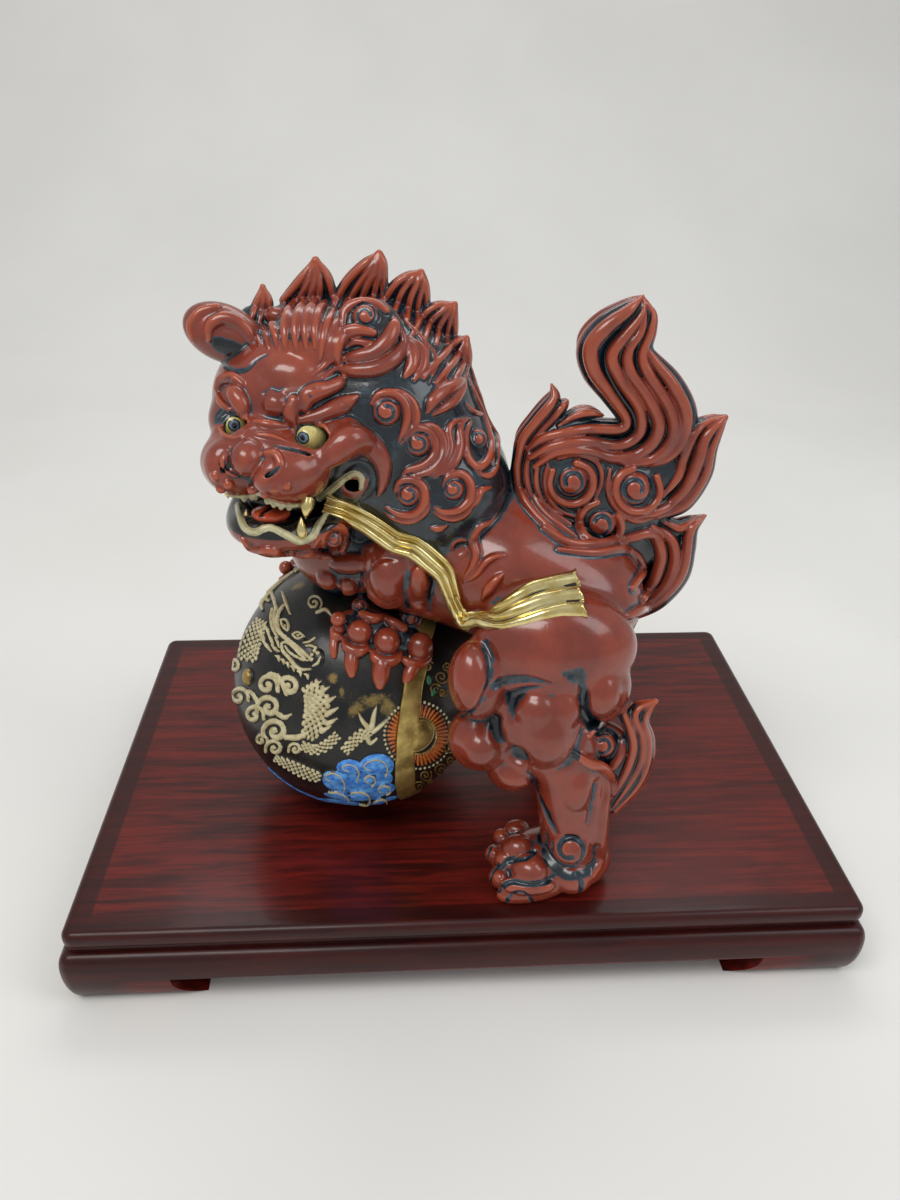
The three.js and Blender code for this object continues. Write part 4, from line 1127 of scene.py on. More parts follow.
TAIL_FORMS = (((76, 218), (42, 15, 34), 6), ((52, 240), (24, 14, 30), 6), ((84, 190), (24, 14, 20), 6),
              ((112, 236), (12, 8, 12), 4), ((106, 188), (12, 8, 12), 4), ((98, 178), (12, 8, 12), 4))
for (x, z), radii, blend in TAIL_FORMS:
    tail.ellipsoid((x, TAIL_Y, z), radii, blend=blend)
sheet(tail, TAIL_VIEW, TAIL_Y, TAIL_STRANDS, 1.3, 0.76, 0.4, body)
rump = ground_of(tail.low, tail.high, tail, body)
for name, (x, y, size, begin, hand) in TAIL_CURLS.items():
    ring = whorl(x, y, size * 1.06, 0.8, math.radians(begin), hand, 0.2, 0.86)
    near = trace(rump, TAIL_VIEW, ring)
    low, high = near[:, :3].min(0) - 12, near[:, :3].max(0) + 12
    low[1], high[1] = -112, -6
    curl = piece(f"tail_curl_{name}", low, high, 0.4)
    two_faced(curl, rump, TAIL_VIEW, TAIL_Y, ring, 0.5, 0.4)
    knob, groove = scroll(rump, TAIL_VIEW, x, y, size * 0.8, begin, hand, 1.15, 0.6)
    add_scroll(curl, knob, groove)
    middle, radii, axes = knob
    curl.ellipsoid((middle[0], 2 * TAIL_Y - middle[1], middle[2]), radii, axes * (1, -1, 1), 0.4)


# Materials
def linear(red, green, blue):
    """An sRGB colour, each part from 0 to 255, as Blender's linear colour."""
    parts = [c / 255 for c in (red, green, blue)]
    return tuple(c / 12.92 if c < 0.04045 else ((c + 0.055) / 1.055) ** 2.4 for c in parts) + (1.0,)


class Finish:
    """A node material, built up step by step."""

    def __init__(self, name):
        self.material = bpy.data.materials.new(name)
        self.material.use_nodes = True
        self.nodes = self.material.node_tree.nodes
        self.links = self.material.node_tree.links
        self.shader = self.nodes["Principled BSDF"]

    def node(self, kind, inputs=None, **settings):
        node = self.nodes.new(kind)
        for key, value in settings.items():
            setattr(node, key, value)
        for key, value in (inputs or {}).items():
            self.feed(node.inputs[key], value)
        return node

    def feed(self, socket, value):
        if isinstance(value, bpy.types.NodeSocket):
            self.links.new(value, socket)
        else:
            socket.default_value = value

    def attribute(self, name):
        return self.node("ShaderNodeAttribute", attribute_name=name).outputs["Fac"]

    def place(self):
        return self.node("ShaderNodeTexCoord").outputs["Object"]

    def stretched(self, scale):
        return self.node("ShaderNodeMapping", {"Vector": self.place(), "Scale": scale}).outputs["Vector"]

    def noise(self, scale, detail=4.0, rough=0.55, at=None, warp=0.0):
        inputs = {"Vector": at or self.place(), "Scale": scale, "Detail": detail, "Roughness": rough,
                  "Distortion": warp}
        return self.node("ShaderNodeTexNoise", inputs).outputs["Fac"]

    def ramp(self, value, low, high):
        """0 below low, 1 above high and smooth between."""
        node = self.node("ShaderNodeMapRange", {"Value": value, "From Min": low, "From Max": high},
                         interpolation_type="SMOOTHSTEP")
        return node.outputs["Result"]

    def sum(self, a, b, kind="ADD"):
        return self.node("ShaderNodeMath", {0: a, 1: b}, operation=kind).outputs[0]

    def times(self, a, b):
        return self.sum(a, b, "MULTIPLY")

    def sway(self, noise, amount):
        """A noise, brought to an even spread about 0 and scaled."""
        return self.times(self.sum(noise, 0.5, "SUBTRACT"), amount)

    def mix(self, share, a, b, kind="MIX"):
        node = self.node("ShaderNodeMix", data_type="RGBA", blend_type=kind)
        self.feed(node.inputs["Factor"], share)
        self.feed(node.inputs[6], a)
        self.feed(node.inputs[7], b)
        return node.outputs[2]

    def bump(self, height, distance, strength=1.0):
        inputs = {"Height": height, "Distance": distance, "Strength": strength}
        self.feed(self.shader.inputs["Normal"], self.node("ShaderNodeBump", inputs).outputs["Normal"])

    def set(self, **values):
        for key, value in values.items():
            self.feed(self.shader.inputs[key.replace("_", " ")], value)


def glaze_finish():
    """Brick red glaze that breaks to blue-black in the hollows, which also take painted shade where parts
    meet and round the eyes; painted lips and teeth, and the mouth and nostrils painted near black as shade.
    """
    m = Finish("red_glaze")
    cloud = m.noise(45, 5, 0.6)
    fine = m.noise(420, 3, 0.6)
    streak = m.noise(160, 4, 0.65, warp=0.6)
    red = m.mix(m.ramp(cloud, 0.3, 0.7), linear(116, 45, 29), linear(143, 57, 36))
    high = m.attribute("ridge")
    red = m.mix(m.ramp(m.sum(high, m.sway(cloud, 0.5)), 0.25, 0.85), red, linear(168, 76, 44))
    # Dark glaze pooled in the hollows and grooves; the recess attribute also holds painted shade round the
    # eyes, on the far ear and where parts meet
    darkening = m.sum(m.attribute("recess"), m.sway(streak, 0.95))
    darkening = m.sum(darkening, m.sway(fine, 0.3))
    pool = m.mix(m.ramp(cloud, 0.35, 0.7), linear(8, 13, 18), linear(17, 38, 50))
    # Teal where the dark glaze thins at the pool edges; the teal also stands in for bluish reflections on
    # their walls, a painted reflection
    dark = m.mix(m.ramp(darkening, 0.52, 0.88), linear(38, 66, 80), pool)
    colour = m.mix(m.ramp(darkening, 0.36, 0.6), red, dark)
    # Painted shade: near black in the mouth, the nostrils and the hole by the mouth's corner
    colour = m.mix(m.ramp(m.attribute("black"), 0.35, 0.6), colour, linear(14, 14, 16))
    cream = m.mix(m.ramp(streak, 0.35, 0.75), linear(206, 200, 158), linear(150, 140, 100))
    colour = m.mix(m.ramp(m.attribute("cream"), 0.4, 0.6), colour, cream)
    m.set(Base_Color=colour, Roughness=m.sum(0.16, m.times(streak, 0.14)), Coat_Weight=0.5,
          Coat_Roughness=0.06, IOR=1.5)
    m.bump(m.sum(streak, m.times(fine, 0.3)), 0.0004, 0.35)
    return m.material


def gold_finish(name, deep, pale, shine, rough):
    """Gold lustre over brown, turning to the brown as painted shade where it lies deep."""
    m = Finish(name)
    cloud = m.noise(90, 4, 0.6)
    fine = m.noise(700, 2, 0.6)
    gold = m.mix(m.ramp(cloud, 0.3, 0.7), deep, pale)
    # Painted shade: the recess attribute darkens the gold to brown and takes away its shine
    darkening = m.sum(m.attribute("recess"), m.sway(cloud, 0.4))
    share = m.ramp(darkening, 0.45, 0.8)
    colour = m.mix(share, gold, linear(38, 28, 16))
    m.set(Base_Color=colour, Metallic=m.times(m.sum(1.0, share, "SUBTRACT"), shine),
          Roughness=m.sum(rough, m.times(fine, 0.16)))
    m.bump(m.sum(cloud, m.times(fine, 0.25)), 0.0004, 0.25)
    return m.material


def lacquer_finish():
    """Dark red-brown lacquer over wood whose grain runs along the stand."""
    m = Finish("lacquer")
    stretch = m.stretched((1.0, 12.0, 12.0))
    lines = m.noise(14, 6, 0.65, stretch, 0.4)
    fibre = m.noise(60, 4, 0.7, stretch)
    cloud = m.noise(9, 3, 0.5)
    colour = m.mix(m.ramp(lines, 0.35, 0.68), linear(50, 12, 10), linear(112, 27, 19))
    colour = m.mix(m.ramp(fibre, 0.45, 0.8), colour, linear(66, 18, 15))
    colour = m.mix(m.times(m.ramp(cloud, 0.4, 0.7), 0.35), colour, linear(118, 36, 27))
    colour = m.mix(m.times(m.ramp(m.attribute("end_band"), 0.3, 0.7), 0.75), colour, linear(38, 11, 10))
    dust = m.ramp(m.noise(900, 2, 0.5), 0.72, 0.8)
    scuff = m.times(dust, m.ramp(m.noise(30, 3, 0.6), 0.5, 0.75))
    colour = m.mix(m.times(scuff, 0.35), colour, linear(150, 120, 110))
    m.set(Base_Color=colour, Roughness=m.sum(0.24, m.times(fibre, 0.16)), Coat_Weight=0.1,
          Coat_Roughness=0.1, IOR=1.36)
    m.bump(m.sum(fibre, lines), 0.0002, 0.25)
    return m.material


def wood_finish():
    """Plain sawn wood, for what is out of sight under the stand."""
    m = Finish("raw_wood")
    stretch = m.stretched((3.0, 1.0, 10.0))
    lines = m.noise(40, 6, 0.65, stretch, 0.8)
    fibre = m.noise(260, 3, 0.7, stretch)
    colour = m.mix(m.ramp(lines, 0.35, 0.65), linear(120, 84, 54), linear(160, 122, 84))
    colour = m.mix(m.times(m.ramp(fibre, 0.5, 0.8), 0.5), colour, linear(96, 64, 40))
    m.set(Base_Color=colour, Roughness=m.sum(0.6, m.times(fibre, 0.2)))
    m.bump(fibre, 0.0005, 0.5)
    return m.material


def eye_finish():
    """Pale yellow enamel with a dark blue iris and a black pupil."""
    m = Finish("eye_glaze")
    gaze = m.attribute("gaze")
    blot = m.noise(260, 3, 0.6)
    white = m.mix(m.ramp(blot, 0.35, 0.7), linear(222, 210, 140), linear(204, 186, 104))
    iris = m.mix(m.ramp(blot, 0.4, 0.7), linear(110, 132, 150), linear(60, 80, 104))
    edge = m.sum(gaze, m.sway(blot, 0.02))
    colour = m.mix(m.ramp(edge, 0.932, 0.940), white, linear(16, 16, 18))
    colour = m.mix(m.ramp(edge, 0.956, 0.963), colour, iris)
    colour = m.mix(m.ramp(edge, 0.986, 0.990), colour, linear(10, 11, 14))
    m.set(Base_Color=colour, Roughness=m.sum(0.08, m.times(blot, 0.08)), Coat_Weight=0.6,
          Coat_Roughness=0.04)
    return m.material


def tongue_finish():
    """Orange-red glaze with a dark line down the middle."""
    m = Finish("tongue_glaze")
    cloud = m.noise(150, 4, 0.6)
    colour = m.mix(m.ramp(cloud, 0.3, 0.7), linear(176, 62, 34), linear(206, 86, 48))
    colour = m.mix(m.ramp(m.attribute("recess"), 0.3, 0.7), colour, linear(70, 22, 16))
    m.set(Base_Color=colour, Roughness=m.sum(0.16, m.times(cloud, 0.12)), Coat_Weight=0.4,
          Coat_Roughness=0.06)
    m.bump(cloud, 0.0004, 0.4)
    return m.material


red_glaze = glaze_finish()
gilding = gold_finish("gilding", linear(206, 180, 104), linear(240, 226, 168), 1.0, 0.14)
old_gold = gold_finish("old_gold", linear(136, 112, 56), linear(200, 174, 104), 0.7, 0.27)
lacquer = lacquer_finish()
raw_wood = wood_finish()
eye_glaze = eye_finish()
tongue_glaze = tongue_finish()


# Meshes
def to_metres(points):
    """From the lion's places, in mm on the stand's top, to the frame in metres."""
    return (np.asarray(points, float) + (0, 0, STAND_HEIGHT)) / 1000


def add_attribute(mesh, name, values):
    layer = mesh.attributes.new(name, "FLOAT", "POINT")
    layer.data.foreach_set("value", np.asarray(values, np.float32))


def add_object(name, data):
    thing = bpy.data.objects.new(name, data)
    bpy.context.scene.collection.objects.link(thing)
    return thing


def add_ceramic(name, points, faces, material, node, attributes, normals=None):
    """A piece of the figurine: points in mm from the stand's top, and quads as one array."""
    mesh = bpy.data.meshes.new(name)
    points = to_metres(points).astype(np.float32)
    mesh.vertices.add(len(points))
    mesh.vertices.foreach_set("co", points.ravel())
    mesh.loops.add(faces.size)
    mesh.loops.foreach_set("vertex_index", faces.ravel().astype(np.int32))
    mesh.polygons.add(len(faces))
    mesh.polygons.foreach_set("loop_start", np.arange(len(faces), dtype=np.int32) * faces.shape[1])
    mesh.update(calc_edges=True)
    for key, values in attributes.items():
        add_attribute(mesh, key, values)
    mesh.polygons.foreach_set("use_smooth", np.full(len(faces), True))
    if normals is not None:
        mesh.normals_split_custom_set_from_vertices(np.asarray(normals, float).tolist())
    mesh.materials.append(material)
    thing = add_object(name, mesh)
    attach(thing, "figurine")
    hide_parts(node)


def step(values, low, high):
    """0 up to low, 1 from high on and smooth between."""
    t = np.clip((values - low) / (high - low), 0, 1)
    return t * t * (3 - 2 * t)


def within(values, low, high):
    """1 up to low, 0 from high on and smooth between."""
    return 1 - step(values, low, high)


def box_blur(values, half):
    """Mean over a cube of cells that reaches half cells each way."""
    for axis in range(3):
        size = values.shape[axis]
        total = np.cumsum(values, axis=axis, dtype=np.float32)
        high = np.minimum(np.arange(size) + half, size - 1)
        low = np.arange(size) - half - 1
        values = np.take(total, high, axis=axis)
        lower = np.take(total, np.maximum(low, 0), axis=axis)
        empty = [1, 1, 1]
        empty[axis] = size
        lower *= (low >= 0).reshape(empty)
        values -= lower
        values /= np.float32(2 * half + 1)
    return values


PATH_REACH = 8.0


def near_path(points, path):
    """Distance of points from a strand's surface."""
    best = np.full(len(points), FAR)
    low, high = path[:, :3].min(0) - PATH_REACH, path[:, :3].max(0) + PATH_REACH
    box = np.all((points > low) & (points < high), axis=1)
    inside = points[box]
    least = np.full(len(inside), FAR)
    for p, q in zip(path[:-1], path[1:]):
        way = q - p
        t = np.clip((inside - p[:3]) @ way[:3] / max(way[:3] @ way[:3], 1e-9), 0, 1)
        gap = np.linalg.norm(inside - p[:3] - t[:, None] * way[:3], axis=1) - (p[3] + t * way[3])
        least = np.minimum(least, gap)
    best[box] = least
    return best


# The pieces are joined in one block, so that they run into each other, and its skin is cut up by piece
whole = Clay(LATTICE_LOW, LATTICE_HIGH)
for p in pieces:
    clay = p["clay"]
    at = tuple(slice(a, a + n) for a, n in zip(clay.first, clay.count))
    whole.field[at] = soft_min(whole.field[at], clay.field, p["join"])
whole.ellipsoid(BALL_MIDDLE, (BALL_RADIUS - 1.0,) * 3, blend=0, carve=True)
heights = whole.low[2] + CELL * np.arange(whole.count[2])
whole.field = np.maximum(whole.field, -heights[None, None, :].astype(np.float32))
band = np.float32(3 * CELL)
volume = openvdb.FloatGrid(float(band))
volume.copyFromArray(np.clip(whole.field, -band, band))
skin, quads = volume.convertToQuads(0.0)
skin = whole.low + skin.astype(float) * CELL
normals = whole.slope(skin)
hollow = np.zeros(len(skin), np.float32)
ridge = np.zeros(len(skin), np.float32)
# How hollow or ridged the skin is, at three sizes: reach, weight and the bend from which it counts
BENDS = ((1.7, 0.55, 0.03), (4.8, 0.6, 0.03), (9.0, 0.45, 0.06))
RIDGE_REACH = 6.0
for reach, weight, least in BENDS:
    mean = box_blur(np.clip(whole.field, -reach, reach), max(1, int(round(reach / CELL))))
    bend = -whole.sample(skin, mean) / reach
    hollow += weight * step(bend, least, 0.30)
    ridge += 0.5 * step(-bend, 0.02, 0.30) * (reach < RIDGE_REACH)


def darken(share):
    np.maximum(hollow, share, out=hollow)


def from_spot(spot):
    """How far the skin is from a spot."""
    return np.linalg.norm(skin - spot, axis=1)


def from_form(form):
    """How far the skin is from the middle of an ellipsoid, which ends at 1."""
    at, radii, axes = form
    return np.linalg.norm((skin - at) @ axes.T / radii, axis=1)


# Dark ground under the hair, and painted shade over the dark glaze round the eyes and where the body meets
# the ball, the tail and the mane
flat = within(ridge, 0.05, 0.25)
for owner in (mane, tail, *locks, *hands.values(), *tufts.values(), ear["left"]):
    height = np.abs(owner.sample(skin, owner.ground))
    darken(0.85 * flat * within(height, 0.5, 1.9))
for path in scores:
    darken(0.95 * within(near_path(skin, path), -0.6, 0.5 + 0.5 * path[:, 3].max()))
on_head = (skin - HEAD_MIDDLE) @ HEAD_AXES.T
hairy = step(on_head[:, 2], 46, 50) * within(np.abs(face.sample(skin, face.ground)), 0.4, 1.5)
darken(0.85 * hairy)
# Painted shade: a dark ring round each eye, in its socket
for local, _ in EYES.values():
    darken(0.9 * within(from_spot(head_place(*local)) - EYE_RADIUS, 0.8, 2.8))
# Painted shade on the body, legs and arms, not the paws, where they meet the ball, the tail and the mane
plain = np.min([clay.sample(skin) for clay in (body, *legs.values(), *arms.values())], axis=0)
plain = within(plain, 0.2, 1.2)
plain *= step(np.min([clay.sample(skin) for clay in hands.values()], axis=0), 0.3, 1.5)
darken(0.9 * plain * within(from_spot(BALL_MIDDLE) - BALL_RADIUS, 3, 15))
darken(0.8 * plain * within(tail.sample(skin, tail.ground), 1, 7))
darken(0.85 * plain * within(tail.sample(skin), 0.5, 4))
darken(0.7 * plain * within(mane.sample(skin, mane.ground), 1, 5))
DARK_PATCHES = (
    (642, 505, 62), (375, 870, 54), (700, 712, 50), (270, 715, 44), (252, 560, 46), (478, 1040, 44),
    (508, 1100, 44), (360, 620, 44),
)
for x, y, size in DARK_PATCHES:
    spot = near_leg.cast(LEG_VIEW, [(x, y)])[0]
    darken(0.8 * within(from_spot(spot) / (size * grain(LEG_VIEW, spot)), 0.35, 1.15))
# Thin, orange glaze on the forehead, the muzzle and the far ear; these lighter patches on top also stand in
# for the glaze's sheen there, a painted highlight
PALE_PATCHES = (
    (520, 590, 220, 0.5), (300, 1060, 140, 0.4), (560, 1120, 130, 0.45), (230, 400, 130, 0.6),
    (640, 740, 120, 0.5), (445, 800, 70, 0.5),
)
for x, y, size, share in PALE_PATCHES:
    spot = face.cast(HEAD_VIEW, [(x, y)])[0]
    away = from_spot(spot) / (size * grain(HEAD_VIEW, spot))
    np.maximum(ridge, share * within(away, 0.2, 1.4), out=ridge)
# Painted shade on the lower part of the far ear
darken(0.9 * within(from_form(far_ear_shade), 0.85, 1.35))
cream = np.zeros(len(skin), np.float32)
for path in (lip, far_lip, lower_lip):
    cream = np.maximum(cream, within(near_path(skin, path), 0.3, 1.0))
for tooth in teeth:
    cream = np.maximum(cream, within(from_spot(tooth), 2.4, 3.0))
# Painted shade: the mouth, the nostrils and the hole by the mouth's corner are coloured near black
MOUTH_MIDDLE = (34, 0, -41)
MOUTH_RADII = (39, 38, 10.5)
black = within(np.linalg.norm((on_head - MOUTH_MIDDLE) / MOUTH_RADII, axis=1), 0.95, 1.1)
for form in (*nostril_forms, corner_hole):
    black = np.maximum(black, within(from_form(form), 1.0, 1.2))

middles = skin[quads].mean(axis=1)
nearest = np.full(len(quads), FAR, np.float32)
label = np.zeros(len(quads), int)
for i, p in enumerate(pieces):
    clay = p["clay"]
    box = np.nonzero(np.all((middles > clay.low) & (middles < clay.high), axis=1))[0]
    gap = clay.sample(middles[box])
    closer = gap < nearest[box]
    nearest[box[closer]] = gap[closer]
    label[box[closer]] = i
for i, p in enumerate(pieces):
    used, faces = np.unique(quads[label == i], return_inverse=True)
    faces = faces.reshape(-1, 4)
    shades = {"recess": hollow[used], "ridge": ridge[used], "cream": cream[used], "black": black[used]}
    add_ceramic(p["name"], skin[used], faces, red_glaze, p["node"], shades, normals[used])


# Eyes, fangs and tongue
def around(count):
    """Angles round a full turn."""
    return np.linspace(0, 2 * math.pi, count, endpoint=False)


def sphere(rows, columns):
    """Ways out of the middle of a sphere, ring by ring, and the quads between them."""
    v = np.linspace(0.02, math.pi - 0.02, rows)
    u = around(columns)
    ways = np.stack([np.outer(np.sin(v), np.cos(u)), np.outer(np.sin(v), np.sin(u)),
                     np.outer(np.cos(v), np.ones(columns))], axis=-1)
    return ways.reshape(-1, 3), loop_quads(rows, columns)


def loop_quads(rows, columns):
    """Quads between rings of points."""
    i, j = np.meshgrid(np.arange(rows - 1), np.arange(columns), indexing="ij")
    k = (j + 1) % columns
    corners = [i * columns + j, (i + 1) * columns + j, (i + 1) * columns + k, i * columns + k]
    return np.stack(corners, axis=-1).reshape(-1, 4)


for side, (local, pupil) in EYES.items():
    middle = head_place(*local)
    gaze = ball_way(HEAD_VIEW, pupil, middle, EYE_RADIUS)
    ways, faces = sphere(36, 48)
    swell = 1 + 0.05 * step(ways @ gaze, 0.84, 0.97)
    points = middle + ways * EYE_RADIUS * swell[:, None]
    shade = {"gaze": ways @ gaze}
    add_ceramic(f"enamel_eye_{side}", points, faces, eye_glaze, f"eye_{side}", shade)


def horn(path, sides=20):
    """A tapering round tube with a closed tip."""
    path = smooth_path(path, 0.6)
    along = np.gradient(path[:, :3], axis=0)
    along /= np.linalg.norm(along, axis=1, keepdims=True)
    side = np.cross(along, (0.3, 0.8, 0.1))
    side /= np.linalg.norm(side, axis=1, keepdims=True)
    other = np.cross(along, side)
    u = around(sides)
    ring = np.cos(u)[None, :, None] * side[:, None] + np.sin(u)[None, :, None] * other[:, None]
    points = path[:, None, :3] + ring * path[:, 3][:, None, None]
    return points.reshape(-1, 3), loop_quads(len(path), sides)[:, ::-1]


FANGS = {
    "upper_left": [(47, 28, -26, 3.4), (49, 28.4, -30, 3.1), (49.8, 28.5, -33, 2.0),
                   (49.6, 28.4, -36, 0.15)],
    "upper_right": [(45, -17, -24, 3.2), (46.5, -17, -28, 2.6), (47, -16.6, -31, 1.6),
                    (46.8, -16.4, -33.5, 0.15)],
    "lower_left": [(40, 23, -50, 1.6), (41.5, 23, -47, 3.2), (42.4, 23, -43, 2.4),
                   (42.4, 22.8, -38, 0.15)],
    "lower_right": [(40, -8, -49, 1.6), (41.5, -8, -46, 3.0), (42.4, -8, -43, 2.0),
                    (42.4, -8, -39, 0.15)],
}
for name, path in FANGS.items():
    points, faces = horn(turned(path, HEAD_MIDDLE, HEAD_AXES))
    # Painted shade: each fang darkens towards its root in the gum
    shade = {"recess": np.linspace(0.5, 0.0, len(points))}
    add_ceramic(f"gilt_fang_{name}", points, faces, gilding, f"fang_{name}", shade)

TONGUE_MIDDLE = (37, 3.5, -41.5)
TONGUE_RADII = (13, 9.5, 4.6)
ways, faces = sphere(40, 56)
groove = np.exp(-(ways[:, 1] / 0.16) ** 2) * (ways[:, 2] > 0)
local = ways * TONGUE_RADII
local[:, 2] += 1.5 * ways[:, 0] * abs(ways[:, 0]) - 1.6 * groove * ways[:, 2] + np.abs(ways[:, 1]) ** 2
points = HEAD_MIDDLE + (local + TONGUE_MIDDLE) @ HEAD_AXES
add_ceramic("red_tongue", points, faces, tongue_glaze, "tongue", {"recess": groove})


# Ribbon: a gilt band with three ribs, from the mouth over the shoulder and along the flank
RIBBON_COLUMNS = 72
RIBBON_LIFT = 3.0
# The flared end turns in: how wide, how far back and how dark, the darkness being painted shade inside the
# open end
RIBBON_MOUTH = ((0.82, 0.3, 0.2), (0.72, -3.0, 1.0), (0.6, -8.0, 1.0), (0.02, -9.0, 1.0))


def ribbon(name, middles, faces_out, widths, thick, flare):
    """A ribbed strip along a path; faces_out are the ways that its face looks."""
    path = smooth_path(np.column_stack([middles, faces_out, widths]), 1.0)
    middle, out, width = path[:, :3], path[:, 3:6], path[:, 6] / 2
    along = np.gradient(middle, axis=0)
    along /= np.linalg.norm(along, axis=1, keepdims=True)
    out = out - along * np.sum(out * along, axis=1, keepdims=True)
    out /= np.linalg.norm(out, axis=1, keepdims=True)
    side = np.cross(along, out)
    across = np.cos(around(RIBBON_COLUMNS))
    top = np.sin(around(RIBBON_COLUMNS))
    wave = np.linspace(0, 1, len(path))
    rings = []
    shade = []
    for i in range(len(path)):
        shift = across + 0.06 * (1 - across**2) * np.sin(across * 2.0 + wave[i] * 5.0)
        ribs = np.abs(np.sin(1.5 * math.pi * (shift + 1))) ** 0.6
        lift = np.where(top > 0, np.abs(top) ** 0.35 * (0.3 + 0.7 * ribs), -0.45 * np.abs(top) ** 0.5)
        rings.append(middle[i] + np.outer(across * width[i], side[i]) + np.outer(thick * lift, out[i]))
        # Painted shade in the grooves between the ribs and on the strip's under side
        shade.append(np.where(top > 0, (1 - ribs) ** 1.1 * (np.abs(across) < 0.9), 0.6))
    if flare:
        lip = rings[-1]
        core = lip.mean(axis=0)
        scallop = 1.8 * np.cos(3 * math.pi * (across + 1))[:, None]
        rings[-1] = lip + along[-1] * scallop * 0.5 + (lip - core) * 0.06
        shade[-1] = np.full(RIBBON_COLUMNS, 0.1)
        for inset, back, dark in RIBBON_MOUTH:
            rings.append(core + (lip - core) * inset + along[-1] * (back + scallop * 0.4))
            shade.append(np.full(RIBBON_COLUMNS, dark))
    quads = loop_quads(len(rings), RIBBON_COLUMNS)[:, ::-1]
    shade = {"recess": np.concatenate(shade)}
    add_ceramic(f"gilt_{name}", np.vstack(rings), quads, gilding, name, shade)


UPPER = [(715, 1270), (810, 1285), (900, 1338), (985, 1405), (1050, 1465), (1140, 1508), (1240, 1540)]
FOLD = [(295, 1350), (340, 1420), (348, 1500)]
LOWER = [(98, 150), (118, 225), (165, 290), (232, 310), (312, 284), (385, 226), (460, 180), (550, 164),
         (645, 165)]
whole.keep_ground()
upper_path = np.vstack([whole.cast(HEAD_VIEW, UPPER), whole.cast(TAIL_VIEW, FOLD)])
lower_path = whole.cast(LEG_VIEW, LOWER)
RIBBONS = (
    ("ribbon_upper", upper_path, [13, 13, 13, 13.5, 14, 14, 14, 13, 11, 9], 4.0, False),
    ("ribbon_lower", lower_path, [8, 9, 11, 12, 15, 20, 23.5, 25, 28], 4.5, True),
)
for name, path, widths, thick, flare in RIBBONS:
    path = smoothed(path, 3)
    out = whole.slope(path)
    ribbon(name, path + out * RIBBON_LIFT, out * 0.5 + (0, -0.5, 0.35), widths, thick, flare)

# Ball: relief drawn on a fine sphere, as heights and painted parts
COLUMNS, ROWS = ((760, 480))
# Columns stand closer together on the near side
turn = np.linspace(-math.pi, math.pi, COLUMNS, endpoint=False)
turn = turn - 0.45 * np.sin(turn)
tilt = np.linspace(0.01, math.pi - 0.01, ROWS)
BALL_WAYS = np.stack([np.outer(np.sin(tilt), np.sin(turn)), -np.outer(np.sin(tilt), np.cos(turn)),
                      np.outer(np.cos(tilt), np.ones(COLUMNS))], axis=-1).reshape(-1, 3)
BAND_WAY = unit((0.974, -0.22, -0.054))
BAND_OFFSET = 45.0
BAND_WIDTH = 10.5
FAR_WAY = unit(np.cross(BAND_WAY, (0, 0, 1)))
# Millimetres to one pixel of the close view, on the ball
BALL_GRAIN = 0.092
relief = np.zeros(len(BALL_WAYS))
paint = {key: np.zeros(len(BALL_WAYS)) for key in ("ivory", "cobalt", "gold", "dust", "orange", "green")}


def on_ball(x, y):
    """The way from the ball's middle to a place in the close view of it."""
    return ball_way(BALL_VIEW, (x, y), BALL_MIDDLE, BALL_RADIUS)


def both_sides(ways):
    """Ways on the near side of the ball and their mirror images on the far side."""
    return ways, ways - 2 * (ways @ FAR_WAY)[..., None] * FAR_WAY


def raise_up(some, shape, height, colour, fade=(0.15, 0.5)):
    """Raises some places of the ball by a shape from 0 to 1, and paints them."""
    relief[some] = np.maximum(relief[some], shape * height)
    if colour:
        cover = step(shape, *fade)
        for key in paint:
            paint[key][some] = np.maximum(paint[key][some] * (1 - cover), cover * (key == colour))


def raise_stroke(places, height, colour, power=0.5):
    """A raised line on the ball through places of x, y and half width in its close view."""
    flat = smooth_path(places, 14.0)
    near = np.array([on_ball(x, y) for x, y, _ in flat])
    half = flat[:, 2] * BALL_GRAIN
    for ways in both_sides(near):
        mean = unit(ways.mean(axis=0))
        spread = math.acos(np.clip((ways @ mean).min(), -1, 1)) + (half.max() + 1) / BALL_RADIUS
        some = np.nonzero(BALL_WAYS @ mean > math.cos(min(spread, math.pi)))[0]
        spots = BALL_WAYS[some] * BALL_RADIUS
        best = np.full(len(some), 9.0)
        for p, q, r, s in zip(ways[:-1] * BALL_RADIUS, ways[1:] * BALL_RADIUS, half[:-1], half[1:]):
            step_way = q - p
            t = np.clip((spots - p) @ step_way / max(step_way @ step_way, 1e-9), 0, 1)
            gap = np.linalg.norm(spots - p - t[:, None] * step_way, axis=1)
            best = np.minimum(best, gap / np.maximum(r + t * (s - r), 0.2))
        raise_up(some, np.clip(1 - best**2, 0, 1) ** power, height, colour)


def raise_bump(x, y, size, height, colour, turn=0.0, power=0.5, fade=(0.15, 0.5)):
    """A raised oval on the ball, half sizes in its close view."""
    near = on_ball(x, y)
    upward = on_ball(x, y - 8)
    for way, up in zip(both_sides(near), both_sides(upward)):
        up = unit(up - way * (up @ way))
        side = np.cross(up, way)
        some = np.nonzero(BALL_WAYS @ way > math.cos((max(size) * BALL_GRAIN + 1) / BALL_RADIUS))[0]
        spots = BALL_WAYS[some]
        a, b = spots @ side * BALL_RADIUS / BALL_GRAIN, spots @ up * BALL_RADIUS / BALL_GRAIN
        c, s = math.cos(math.radians(turn)), math.sin(math.radians(turn))
        gap = ((a * c + b * s) / size[0]) ** 2 + ((b * c - a * s) / size[1]) ** 2
        raise_up(some, np.clip(1 - gap, 0, 1) ** power, height, colour, fade)


